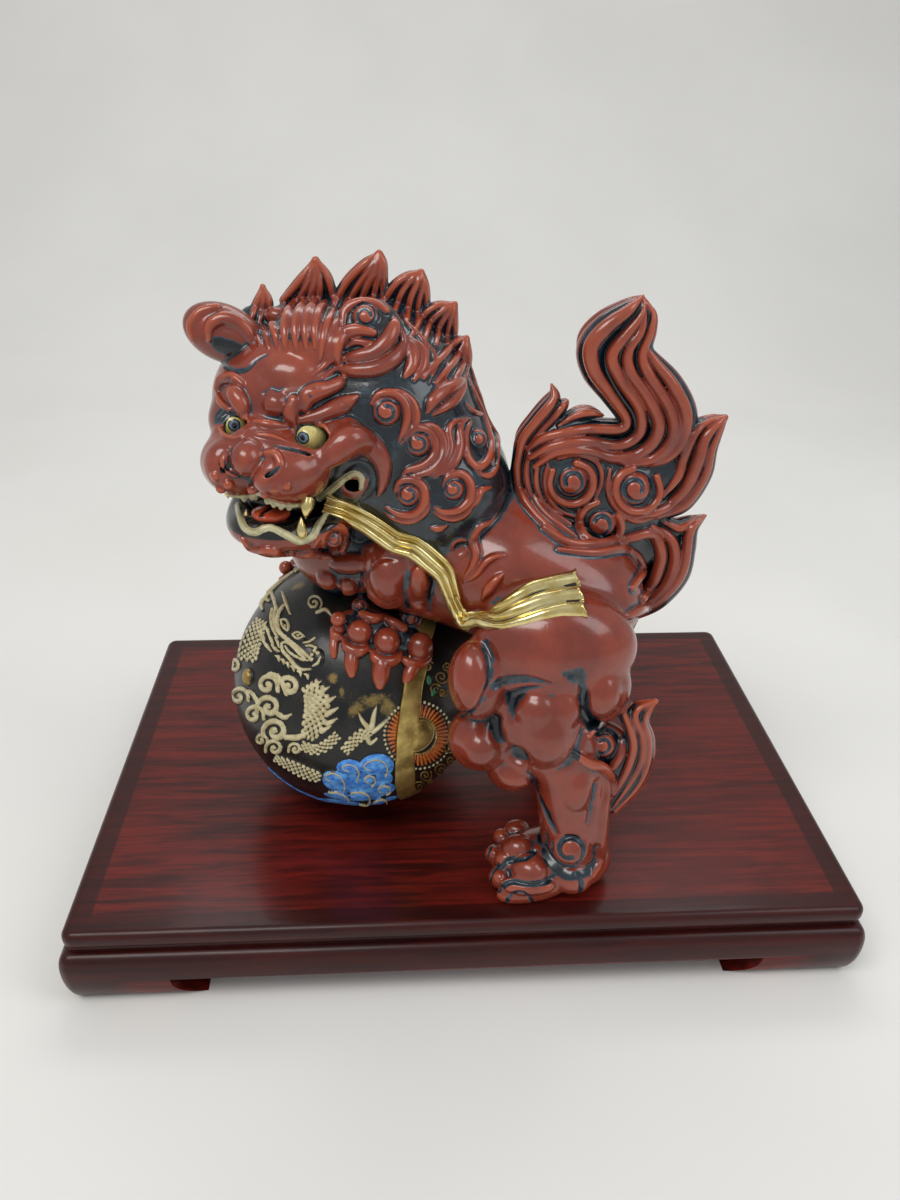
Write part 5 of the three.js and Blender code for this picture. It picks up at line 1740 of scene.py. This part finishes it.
def scaled(places, rows, size, height):
    """Rows of staggered scales along a band: places of x, y and half width."""
    path = smooth_path(places, size * 0.62)
    along = np.gradient(path[:, :2], axis=0)
    along /= np.linalg.norm(along, axis=1, keepdims=True)
    for i, (x, y, half) in enumerate(path):
        dx, dy = along[i]
        slant = math.degrees(math.atan2(-dy, dx))
        for k in np.arange(rows - i % 2) - (rows - 1 - i % 2) / 2:
            off = 2 * half * k / rows
            oval = (size * 0.52, half / rows * 0.86)
            raise_bump(x - dy * off, y + dx * off, oval, height, "ivory", slant)


# Sea: cobalt lobes with crest lines
SEA_FOOT = [(290, 1285, 34), (420, 1380, 44), (560, 1440, 50), (720, 1462, 66), (880, 1478, 66),
            (1040, 1440, 60)]
raise_stroke(SEA_FOOT, 1.2, "cobalt", 0.35)
SEA_MASS = ((840, 1345, 225, 150), (705, 1345, 100, 120), (945, 1260, 118, 115), (785, 1260, 90, 85),
            (950, 1400, 125, 110), (800, 1440, 200, 75), (560, 1430, 130, 44))
for x, y, wide, tall in SEA_MASS:
    raise_bump(x, y, (wide, tall), 0.5, "cobalt", 0, 0.3)
SEA = (
    (785, 1250, 84), (940, 1235, 112), (690, 1312, 78), (895, 1325, 46), (990, 1380, 58),
    (715, 1415, 74), (850, 1430, 76), (965, 1455, 56),
)
for x, y, r in SEA:
    raise_bump(x, y, (r, r * 0.86), 2.9, "cobalt", 0, 0.5)
CREST_LINES = (
    [(905, 1262), (880, 1250), (866, 1232), (900, 1206), (950, 1198), (995, 1220), (1008, 1265),
     (995, 1300)],
    [(775, 1262), (750, 1258), (742, 1240), (775, 1224), (818, 1240), (838, 1285), (826, 1328)],
    [(668, 1322), (644, 1312), (642, 1288), (688, 1278), (732, 1306), (754, 1355), (748, 1392)],
    [(895, 1335), (880, 1325), (876, 1306), (902, 1294), (930, 1308), (934, 1338), (912, 1358)],
    [(978, 1392), (958, 1385), (955, 1366), (985, 1354), (1018, 1364), (1024, 1390), (1002, 1406)],
    [(655, 1392), (712, 1394), (758, 1416), (780, 1446)],
    [(790, 1396), (845, 1392), (888, 1408), (905, 1442), (888, 1468), (842, 1464)],
    [(925, 1452), (962, 1436), (1000, 1442), (1004, 1458)],
)
for line in CREST_LINES:
    raise_stroke([(x, y, 4.6) for x, y in line], 3.5, "ivory", 0.5)
# Clouds: ivory scrolls
CLOUDS = (
    (285, 755, 66, -1), (415, 765, 70, 1), (295, 890, 76, 1), (205, 935, 64, -1), (335, 1035, 80, 1),
    (330, 1135, 56, 1), (455, 1140, 42, 1), (115, 825, 62, -1), (85, 640, 50, 1), (250, 1085, 40, -1),
)
for x, y, r, hand in CLOUDS:
    begin = math.radians(200 if hand > 0 else -20)
    raise_stroke(whorl(x, y, r, 1.25, begin, hand, 0.28), 2.4, "ivory", 0.4)
raise_stroke(whorl(568, 258, 50, 1.5, math.radians(-40), -1, 0.2), 2.0, "ivory", 0.5)
CLOUD_TAILS = (
    [(585, 315, 12), (638, 298, 13), (678, 343, 4)],
    [(225, 850, 20), (190, 800, 16), (150, 790, 6)],
    [(395, 1070, 20), (470, 1070, 22), (520, 1040, 8)],
    [(350, 930, 20), (390, 950, 18), (430, 930, 5)],
    [(330, 700, 20), (300, 690, 18), (260, 720, 10)],
    [(345, 700, 18), (375, 740, 20), (400, 810, 14)],
)
for tail_path in CLOUD_TAILS:
    raise_stroke(tail_path, 2.2, "ivory", 0.4)
# Dragon: a scaled body with spines, a clawed foot, and a horned head
SCALED = (
    ([(545, 760, 62), (578, 820, 82), (585, 900, 84), (565, 980, 78), (535, 1070, 52)], 4, 42, 2.8),
    ([(500, 1120, 32), (570, 1145, 38), (640, 1120, 40), (705, 1060, 34)], 3, 30, 2.4),
    ([(755, 1150, 36), (805, 1095, 42), (860, 1050, 40), (905, 1045, 32)], 3, 32, 2.6),
    ([(340, 1195, 24), (430, 1240, 40), (520, 1285, 46), (600, 1310, 36)], 3, 30, 2.4),
    ([(250, 370, 40), (215, 440, 62), (180, 520, 72), (165, 600, 66)], 4, 32, 2.4),
)
for band in SCALED:
    scaled(*band)
SPINES = ((590, 745), (640, 780), (678, 838), (694, 905), (688, 970), (650, 1015))
for x, y in SPINES:
    raise_stroke([(x - 38, y + 18, 20), (x - 4, y, 12), (x + 20, y - 14, 3)], 2.4, "ivory", 0.5)
CLAWS = (
    [(900, 1020, 20), (860, 970, 14), (828, 905, 3)],
    [(915, 1010, 20), (930, 930, 15), (948, 860, 3)],
    [(925, 1035, 18), (975, 995, 13), (1015, 955, 3)],
    [(890, 1075, 20), (905, 1105, 14), (945, 1075, 8)],
)
for claw in CLAWS:
    raise_stroke(claw, 3.0, "ivory", 0.5)
DRAGON_HEAD = (
    [(388, 275, 8), (358, 318, 14), (346, 374, 16), (358, 430, 16), (394, 468, 15), (440, 506, 15),
     (488, 544, 14), (548, 596, 9)],
    [(320, 296, 8), (311, 350, 11), (320, 412, 11), (350, 470, 7)],
    [(338, 300, 6), (330, 350, 8), (336, 405, 8), (362, 455, 5)],
    [(376, 504, 8), (408, 496, 11), (448, 527, 12), (482, 566, 12), (514, 594, 9)],
    [(376, 504, 8), (382, 550, 13), (418, 590, 14), (450, 632, 14), (490, 660, 12), (545, 658, 7)],
    [(398, 522, 6), (420, 556, 9), (462, 584, 9), (510, 604, 7), (552, 604, 5)],
    [(276, 397, 7), (292, 430, 12), (302, 462, 5)],
    [(299, 455, 7), (314, 488, 12), (326, 516, 5)],
    [(262, 486, 7), (288, 524, 12), (312, 552, 5)],
    [(318, 516, 7), (338, 540, 12), (358, 552, 5)],
    [(250, 432, 7), (262, 464, 11), (274, 492, 5)],
    [(338, 470, 6), (352, 500, 10), (362, 530, 5)],
    [(256, 300, 8), (252, 264, 13), (272, 236, 14), (296, 248, 9)],
    [(370, 366, 5), (394, 360, 8), (416, 392, 9), (412, 430, 6)],
    [(370, 368, 5), (380, 402, 8), (410, 432, 5)],
    [(440, 452, 5), (470, 436, 8), (506, 458, 6)],
    [(440, 454, 5), (470, 476, 8), (508, 462, 5)],
    [(505, 500, 5), (540, 494, 8), (575, 470, 6)],
    [(520, 520, 5), (548, 516, 8), (585, 530, 5)],
    [(560, 640, 5), (592, 622, 9), (610, 585, 5)],
)
raise_bump(450, 520, (165, 80), 1.6, None, -40, 0.35)
raise_bump(585, 590, (52, 60), 2.4, None, 0, 0.5)
scaled([(304, 186, 13), (328, 242, 14), (342, 300, 13)], 1, 22, 2.8)
scaled([(378, 196, 7), (398, 258, 12), (424, 326, 9)], 1, 17, 2.6)
DRAGON_HORNS = (
    [(304, 186, 11), (328, 242, 14), (342, 300, 12)],
    [(378, 196, 7), (398, 258, 12), (424, 326, 7)],
)
for line in DRAGON_HORNS + DRAGON_HEAD:
    raise_stroke(line, 3.0, "ivory", 0.5)
DRAGON_EYES = ((396, 400), (473, 457))
for x, y in DRAGON_EYES:
    raise_bump(x, y, (9, 12), 3.2, "ivory", 0, 0.5)
SNOUT_BEADS = ((556, 600), (572, 548), (592, 562), (556, 572), (578, 530))
for x, y in SNOUT_BEADS:
    raise_bump(x, y, (14, 13), 3.4, "ivory", 0, 0.5)
BEARD = ((350, 592), (380, 612), (408, 632), (440, 654), (482, 684), (524, 702))
for x, y in BEARD:
    raise_stroke([(x - 14, y - 14, 5), (x + 4, y - 6, 12), (x + 8, y + 18, 3)], 2.6, "ivory")
raise_bump(170, 705, (48, 60), 5.0, "gold", 0, 0.5)
GOLD_DUST = (
    (470, 150, 95, 70, -40), (930, 850, 170, 62, 8), (680, 712, 52, 48, 0), (1015, 890, 70, 95, 20),
    (735, 800, 26, 52, 0), (820, 905, 80, 60, 40),
)
for x, y, wide, tall, slant in GOLD_DUST:
    raise_bump(x, y, (wide * 1.15, tall * 1.15), 0.1, "dust", slant, 1.0, (0.0, 1.6))
# Brocade beyond the band: petals and beads round the medallion, gold scrolls and a leaf
MEDALLION = (1195, 1058)
PETALS = 44
BEADS = 46


def by_medallion(reach, angle):
    return MEDALLION[0] + reach * math.cos(angle), MEDALLION[1] - reach * math.sin(angle)


for a in around(PETALS):
    petal = [(*by_medallion(r, a), w) for r, w in ((120, 8), (150, 11), (180, 8))]
    raise_stroke(petal, 1.4, "orange")
for a in around(BEADS):
    raise_bump(*by_medallion(202, a), (11, 11), 1.7, "ivory")
raise_stroke([(*by_medallion(112, a), 6) for a in np.linspace(0, 2 * math.pi, 40)], 1.6, "gold")
GOLD_SCROLLS = ((1335, 705, 46, 1), (1390, 1135, 46, -1), (1300, 780, 34, -1), (1240, 1300, 40, 1),
                (1330, 1270, 40, -1), (1255, 640, 34, -1), (1400, 1000, 34, 1), (1200, 1370, 34, -1),
                (1370, 640, 34, 1), (1275, 1345, 30, 1), (1395, 1210, 34, 1), (1345, 800, 28, 1))
for x, y, r, hand in GOLD_SCROLLS:
    raise_stroke([(a, b, 5.5) for a, b, _ in whorl(x, y, r, 1.6, 0.6, hand)], 1.2, "gold")
raise_bump(1262, 725, (17, 34), 1.2, "green", 10)
raise_bump(1290, 800, (15, 28), 1.2, "green", -30)

# The relief stops at the band, and the ground lies a little inside the ball's radius
GROUND_DEPTH = 0.6
RELIEF_SHARE = 0.8
from_band = BALL_WAYS @ BAND_WAY * BALL_RADIUS - BAND_OFFSET
relief *= step(np.abs(from_band), 4.5, 6.5)
ball_points = BALL_MIDDLE + BALL_WAYS * (BALL_RADIUS - GROUND_DEPTH + relief * RELIEF_SHARE)[:, None]
ball_points[:, 2] = np.maximum(ball_points[:, 2], 0.0)


def ball_finish():
    """Black-brown ground dusted with gold; ivory, cobalt, gold, orange and green paint on the relief;
    painted shade in the low places between the relief.
    """
    m = Finish("ball_glaze")
    cloud = m.noise(55, 5, 0.6)
    fine = m.noise(900, 3, 0.7)
    blot = m.noise(240, 4, 0.65)
    ground = m.mix(m.ramp(cloud, 0.35, 0.7), linear(11, 12, 14), linear(32, 30, 27))
    dust = m.times(m.ramp(fine, 0.56, 0.7), m.ramp(cloud, 0.46, 0.72))
    ground = m.mix(m.times(dust, 0.6), ground, linear(122, 100, 58))
    low = m.attribute("recess")
    ivory = m.mix(m.ramp(blot, 0.3, 0.75), linear(214, 204, 164), linear(176, 160, 116))
    blue = m.mix(m.ramp(blot, 0.3, 0.7), linear(34, 104, 204), linear(108, 182, 244))
    orange = m.mix(m.ramp(blot, 0.3, 0.7), linear(176, 82, 30), linear(206, 116, 50))
    green = m.mix(m.ramp(blot, 0.3, 0.7), linear(28, 96, 66), linear(60, 140, 96))
    gold = m.mix(m.ramp(blot, 0.3, 0.7), linear(120, 98, 50), linear(188, 158, 88))
    edge = m.sway(blot, 0.35)
    speck = m.times(m.sum(m.sum(fine, blot), 1.0, "SUBTRACT"), 0.9)
    strewn = m.times(m.ramp(m.sum(m.attribute("dust"), speck), 0.2, 0.8), 0.8)
    colour = m.mix(strewn, ground, linear(150, 126, 66))
    shades = {"cobalt": blue, "orange": orange, "green": green, "gold": gold, "ivory": ivory}
    for key, shade in shades.items():
        colour = m.mix(m.ramp(m.sum(m.attribute(key), edge), 0.38, 0.62), colour, shade)
    # Painted shade in the low places between the relief
    darkening = m.ramp(m.sum(low, edge), 0.5, 0.85)
    colour = m.mix(m.times(darkening, 0.8), colour, linear(16, 15, 14))
    m.set(Base_Color=colour, Roughness=m.sum(0.24, m.times(cloud, 0.2)), Coat_Weight=0.2,
          Coat_Roughness=0.1, IOR=1.42, Metallic=m.times(m.ramp(m.attribute("gold"), 0.4, 0.6), 0.6))
    m.bump(m.sum(blot, m.times(fine, 0.4)), 0.0004, 0.3)
    return m.material


def ring_mean(values, reach):
    """Mean over neighbours on the ball's grid of rows and columns."""
    table = values.reshape(ROWS, COLUMNS)
    near = range(-reach, reach + 1)
    total = sum(np.roll(table, (i, j), (0, 1)) for i in near for j in near)
    return (total / len(near) ** 2).ravel()


# Painted shade: places lower than the relief round them are darkened
relief_valley_shade = step(ring_mean(relief, 4) - relief, 0.25, 0.9)
faces = loop_quads(ROWS, COLUMNS)
shade = {**paint, "recess": relief_valley_shade}
add_ceramic("ball_relief", ball_points, faces, ball_finish(), "ball_shell", shade)

# The gilt band, beaten so that its edges waver, and the dome of the medallion
BAND_STEPS = 360
first = unit(np.cross(BAND_WAY, (0, 1, 0)))
second = np.cross(BAND_WAY, first)
section = around(28)
points = []
shade = []
for a in around(BAND_STEPS):
    beat = 0.25 * math.sin(7 * a) + 0.2 * math.sin(17 * a + 1.0) + 0.15 * math.sin(31 * a + 2.0)
    half = BAND_WIDTH / 2 + 0.12 * math.sin(11 * a) + 0.1 * math.sin(23 * a + 0.6)
    for b in section:
        outer = math.sin(b) > 0
        across = half * math.copysign(abs(math.cos(b)) ** 0.3, math.cos(b))
        lift = 1.5 * math.copysign(abs(math.sin(b)) ** 0.45, math.sin(b)) * (1 if outer else 1.4)
        facet = beat * outer * (1 + across / half * 0.5)
        offset = BAND_OFFSET + across
        reach = math.sqrt(BALL_RADIUS**2 - offset**2)
        out = unit(BAND_WAY * offset + (first * math.cos(a) + second * math.sin(a)) * reach)
        points.append(BALL_MIDDLE + out * (BALL_RADIUS + 0.2 + lift + facet))
        # Painted shade on the band's sides and under side, and in the dents of its beaten face
        shade.append(0.75 if math.sin(b) < 0.2 else 0.12 + 0.2 * max(-beat, 0))
points = np.array(points)
faces = loop_quads(BAND_STEPS, len(section))
closing = np.arange(len(section))
last = (BAND_STEPS - 1) * len(section)
after = (closing + 1) % len(section)
faces = np.vstack([faces, np.column_stack([last + closing, closing, after, last + after])])
add_ceramic("gilt_band", points, faces, old_gold, "ball_gilt_band", {"recess": shade})
out = on_ball(*MEDALLION)
side = unit(np.cross(out, (0, 0, 1)))
turns = around(96)
# Rings of the dome: radius, height and how dark, the darkness being painted shade at its foot and in the
# groove inside its rim
DOME = (
    (11.0, -2.5, 0.8), (11.0, 0.2, 0.5), (10.7, 0.9, 0.1), (10.1, 1.0, 0.5), (9.7, 0.6, 0.75),
    (9.2, 1.0, 0.35), (7.6, 1.7, 0.3), (5.4, 2.3, 0.25), (2.8, 2.7, 0.2), (0.02, 2.8, 0.2),
)
rings = []
for r, h, _ in DOME:
    rings.append(BALL_MIDDLE + out * (BALL_RADIUS + h)
                 + r * (np.outer(np.cos(turns), side) + np.outer(np.sin(turns), np.cross(out, side))))
points = np.vstack(rings) - BALL_MIDDLE
# The band runs over the dome's near half and keeps it down
under = within(points @ BAND_WAY - BAND_OFFSET, BAND_WIDTH / 2 - 1.0, BAND_WIDTH / 2 + 0.2)
length = np.linalg.norm(points, axis=1)
points *= (1 - under * np.maximum(length - BALL_RADIUS - 0.4, 0) / length)[:, None]
shade = np.repeat([dark for _, _, dark in DOME], len(turns))
points += BALL_MIDDLE
faces = loop_quads(len(rings), len(turns))[:, ::-1]
add_ceramic("gilt_dome", points, faces, old_gold, "ball_medallion", {"recess": shade})


# Stand: a board with a rolled edge on four moulded rails
def add_stand(name, mesh, bevel=None):
    """A lacquered piece of the stand, from a mesh in mm in the part's own frame."""
    mesh.transform(Matrix.Scale(0.001, 4))
    mesh.materials.append(lacquer)
    thing = add_object(f"lacquered_{name}", mesh)
    if bevel:
        soften = thing.modifiers.new("edges", "BEVEL")
        soften.width = bevel / 1000
        soften.segments = 3
        soften.limit_method = "ANGLE"
        soften.angle_limit = math.radians(38)
        soften.harden_normals = True
        apply_modifiers(thing)
    mesh = thing.data
    mesh.polygons.foreach_set("use_smooth", [True] * len(mesh.polygons))
    mesh.set_sharp_from_angle(angle=math.radians(34))
    spots = np.empty(len(mesh.vertices) * 3, np.float32)
    mesh.vertices.foreach_get("co", spots)
    from_middle = np.abs(spots.reshape(-1, 3)[:, 0]) * 1000
    ends = step(from_middle, STAND_WIDTH / 2 - BAND_INNER, STAND_WIDTH / 2 - BAND_OUTER)
    add_attribute(mesh, "end_band", ends)
    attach(thing, "stand")
    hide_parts(name)


def apply_modifiers(thing):
    graph = bpy.context.evaluated_depsgraph_get()
    made = bpy.data.meshes.new_from_object(thing.evaluated_get(graph))
    thing.modifiers.clear()
    thing.data = made


def rounded(width, depth, radius, steps=10):
    """Outline in plan of a rectangle with round corners, anticlockwise."""
    corners = ((1, -1, -90), (1, 1, 0), (-1, 1, 90), (-1, -1, 180))
    return [(sx * (width / 2 - radius) + radius * math.cos(math.radians(start + 90 * i / steps)),
             sy * (depth / 2 - radius) + radius * math.sin(math.radians(start + 90 * i / steps)))
            for sx, sy, start in corners for i in range(steps + 1)]


BOARD_THICKNESS = 12.0
BOARD_SETBACK = 4.5
BOARD_ROUND = 5.0
BOARD_CORNER = 12.0
BOARD_MIDDLE = 60.0
# The board's ends are darker, out from these distances to the stand's ends
BAND_OUTER = 18.0
BAND_INNER = 22.0
CORNER_RADIUS = 8.0
RAIL_HEIGHT = STAND_HEIGHT - BOARD_THICKNESS
RAIL_THICKNESS = 30.0
RAIL_NECK = 8.0
NECK_HEIGHT = 4.0
FOOT_INSET = 9.0
FOOT_LENGTH = 65.0
FOOT_SPREAD = 19.0
APRON_GAP = 22.0
CUT_PAST = 5.0


def make_mesh(name, points, faces):
    """A mesh with doubled points joined and its faces looking outwards."""
    mesh = bpy.data.meshes.new(name)
    mesh.from_pydata(points, [], faces)
    shape = bmesh.new()
    shape.from_mesh(mesh)
    bmesh.ops.remove_doubles(shape, verts=shape.verts, dist=1e-4)
    bmesh.ops.recalc_face_normals(shape, faces=shape.faces)
    shape.to_mesh(mesh)
    shape.free()
    return mesh


def board_mesh():
    """The board as loops from the middle of its under side, round its edge, to the middle of its top."""
    loops = [(BOARD_MIDDLE, 0.0), (BOARD_SETBACK + BOARD_ROUND - 0.5, 0.0)]
    for a in np.linspace(0, math.pi / 2, 8):
        loops.append((BOARD_SETBACK + BOARD_ROUND * (1 - math.sin(a)), BOARD_ROUND * (1 - math.cos(a))))
    for a in np.linspace(0, math.pi / 2, 12):
        height = BOARD_THICKNESS - BOARD_ROUND * (1 - math.sin(a))
        loops.append((BOARD_SETBACK + BOARD_ROUND * (1 - math.cos(a)), height))
    loops += [(inset, BOARD_THICKNESS) for inset in (BOARD_CORNER, BAND_OUTER, BAND_INNER, BOARD_MIDDLE)]
    points = []
    for inset, height in loops:
        radius = max(BOARD_CORNER - inset, 1.0)
        outline = rounded(STAND_WIDTH - 2 * inset, STAND_DEPTH - 2 * inset, radius)
        points += [(x, y, RAIL_HEIGHT + height) for x, y in outline]
    wide = len(outline)
    faces = [list(reversed(range(wide)))]
    for i in range(len(loops) - 1):
        for j in range(wide):
            k = (j + 1) % wide
            faces.append((i * wide + j, i * wide + k, (i + 1) * wide + k, (i + 1) * wide + j))
    faces.append([(len(loops) - 1) * wide + j for j in range(wide)])
    mesh = bpy.data.meshes.new("stand_board")
    mesh.from_pydata(points, [], faces)
    return mesh


def rail_section():
    """Outline of a rail across its length: set back from the outside, and height."""
    neck = RAIL_HEIGHT - NECK_HEIGHT
    swell = RAIL_HEIGHT * 0.6
    section = [(RAIL_THICKNESS, 0.0), (RAIL_THICKNESS, RAIL_HEIGHT)]
    section += [(RAIL_NECK, RAIL_HEIGHT), (RAIL_NECK, neck)]
    for t in np.linspace(0, 1, 14)[1:]:
        section.append(((1 - t) ** 2 * RAIL_NECK, neck + (swell - neck) * t * t))
    for t in np.linspace(0, 1, 18)[1:]:
        x = 1.5 * FOOT_INSET * (1 - t) * t * t + FOOT_INSET * t**3
        z = swell * ((1 - t) ** 3 + 1.5 * (1 - t) ** 2 * t + 0.5 * (1 - t) * t * t)
        section.append((x, z))
    return section


def rail_mesh(length, reach):
    """A rail along X at the -Y side, its ends mitred and turned round the corners."""
    section = rail_section()
    half = length / 2
    arcs = [math.radians(45 - 45 * i / 6) for i in range(7)]
    rows = []
    for inset, height in section:
        row = []
        radius = max(CORNER_RADIUS - inset, 0.0)
        for sign in (-1, 1):
            ends = []
            for a in arcs:
                x = half - inset - radius + radius * math.sin(a)
                y = -reach / 2 + inset + radius - radius * math.cos(a)
                ends.append((sign * x, y, height))
            row += ends if sign < 0 else ends[::-1]
        rows.append(row)
    wide = len(rows[0])
    points = [p for row in rows for p in row]
    count = len(rows)
    faces = [(i * wide + j, i * wide + j + 1, (i + 1) % count * wide + j + 1, (i + 1) % count * wide + j)
             for i in range(count) for j in range(wide - 1)]
    faces.append([i * wide for i in range(count)])
    faces.append([i * wide + wide - 1 for i in reversed(range(count))])
    return make_mesh("rail_blank", points, faces)


def apron_mesh(length, reach):
    """What is cut away between the feet of a rail."""
    foot = length / 2 - FOOT_LENGTH
    curve = []
    for t in np.linspace(0, 1, 14):
        x = foot - (1 - t) ** 2 * FOOT_SPREAD
        z = 2 * (1 - t) * t * APRON_GAP / 4 + t * t * APRON_GAP
        curve.append((x, z))
    outline = [(foot - FOOT_SPREAD, -CUT_PAST)] + curve
    outline += [(-x, z) for x, z in reversed(outline)]
    count = len(outline)
    sides = (-reach / 2 - CUT_PAST, -reach / 2 + RAIL_THICKNESS + CUT_PAST)
    points = [(x, y, z) for y in sides for x, z in outline]
    faces = [list(range(count)), [count + i for i in reversed(range(count))]]
    faces += [(i, i + count, (i + 1) % count + count, (i + 1) % count) for i in range(count)]
    return make_mesh("apron", points, faces)


RAILS = (("front", 0, STAND_WIDTH, STAND_DEPTH), ("right", 90, STAND_DEPTH, STAND_WIDTH),
         ("back", 180, STAND_WIDTH, STAND_DEPTH), ("left", 270, STAND_DEPTH, STAND_WIDTH))
add_stand("stand_board", board_mesh())
for side, angle, length, reach in RAILS:
    solid = add_object("rail_blank", rail_mesh(length, reach))
    cutter = add_object("apron_cut", apron_mesh(length, reach))
    cut = solid.modifiers.new("apron", "BOOLEAN")
    cut.object = cutter
    cut.solver = "EXACT"
    apply_modifiers(solid)
    mesh = solid.data
    for thing in (solid, cutter):
        bpy.data.objects.remove(thing)
    mesh.transform(Matrix.Rotation(math.radians(angle), 4, "Z"))
    add_stand(f"stand_rail_{side}", mesh, 0.8)

# Blocks and battens under the board keep their CAD shape
for name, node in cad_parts.items():
    if name.startswith(("glue_block", "board_batten")):
        node.data.materials.clear()
        node.data.materials.append(raw_wood)


# Floor and backdrop, light and camera
def stage_finish():
    m = Finish("studio_paper")
    soft = m.noise(3.0, 3, 0.5)
    fibre = m.noise(420, 3, 0.6)
    colour = m.mix(m.ramp(soft, 0.3, 0.7), linear(238, 236, 231), linear(243, 241, 237))
    m.set(Base_Color=colour, Roughness=m.sum(0.7, m.times(fibre, 0.15)))
    m.bump(fibre, 0.0002, 0.2)
    return m.material


# The paper in metres: front edge, where it starts to turn up, round of the turn, top and half width
PAPER_FRONT = -3.0
PAPER_TURN = 0.9
PAPER_ROUND = 0.8
PAPER_TOP = 3.0
PAPER_HALF = 4.0


def studio():
    profile = [(PAPER_FRONT, 0.0), (PAPER_TURN, 0.0)]
    for a in np.linspace(0.05, math.pi / 2, 24):
        profile.append((PAPER_TURN + PAPER_ROUND * math.sin(a), PAPER_ROUND - PAPER_ROUND * math.cos(a)))
    profile.append((PAPER_TURN + PAPER_ROUND, PAPER_TOP))
    columns = np.linspace(-PAPER_HALF, PAPER_HALF, 5)
    points = [(x, y, z) for y, z in profile for x in columns]
    wide = len(columns)
    faces = [(i * wide + j, i * wide + j + 1, (i + 1) * wide + j + 1, (i + 1) * wide + j)
             for i in range(len(profile) - 1) for j in range(wide - 1)]
    mesh = bpy.data.meshes.new("studio_floor")
    mesh.from_pydata(points, [], faces)
    mesh.polygons.foreach_set("use_smooth", [True] * len(faces))
    mesh.materials.append(stage_finish())
    add_object("studio_floor", mesh)


def soft_box(name, place, target, size, power, colour):
    lamp = bpy.data.lights.new(name, "AREA")
    lamp.shape = "RECTANGLE"
    lamp.size, lamp.size_y = size
    lamp.energy = power
    lamp.color = colour
    thing = add_object(name, lamp)
    thing.location = place
    thing.rotation_euler = (Vector(target) - Vector(place)).to_track_quat("-Z", "Y").to_euler()


studio()
soft_box("key", (-0.55, -0.75, 1.55), (0.0, -0.05, 0.2), (1.0, 0.5), 10.0, (1.0, 0.98, 0.95))
soft_box("fill", (0.9, -0.55, 1.15), (0.0, -0.05, 0.2), (0.5, 0.9), 3.6, (0.93, 0.97, 1.0))
soft_box("back", (0.1, 0.9, 1.5), (0.0, 0.0, 0.25), (1.4, 0.4), 5.0, (0.95, 0.98, 1.0))
world = bpy.data.worlds.new("studio_world")
world.use_nodes = True
world.node_tree.nodes["Background"].inputs["Color"].default_value = (0.96, 0.98, 1.0, 1.0)
world.node_tree.nodes["Background"].inputs["Strength"].default_value = 0.5
scene = bpy.context.scene
scene.world = world
scene.view_settings.view_transform = "Standard"

SENSOR_WIDTH = 36.0
lens = bpy.data.cameras.new("photo_camera")
lens.sensor_fit = "AUTO"
lens.sensor_width = SENSOR_WIDTH
lens.lens = SENSOR_WIDTH * FOCAL / PICTURE_HEIGHT
lens.clip_start = 0.01
lens.clip_end = 20.0
camera = add_object("photo_camera", lens)
camera.matrix_world = Matrix(np.column_stack([RIGHT, UP, -AHEAD]).tolist()).to_4x4()
camera.location = to_metres(EYE_POINT)
scene.camera = camera

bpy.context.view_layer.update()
# The blocks of clay are done with
for clay in Clay.made:
    clay.field = clay.ground = None
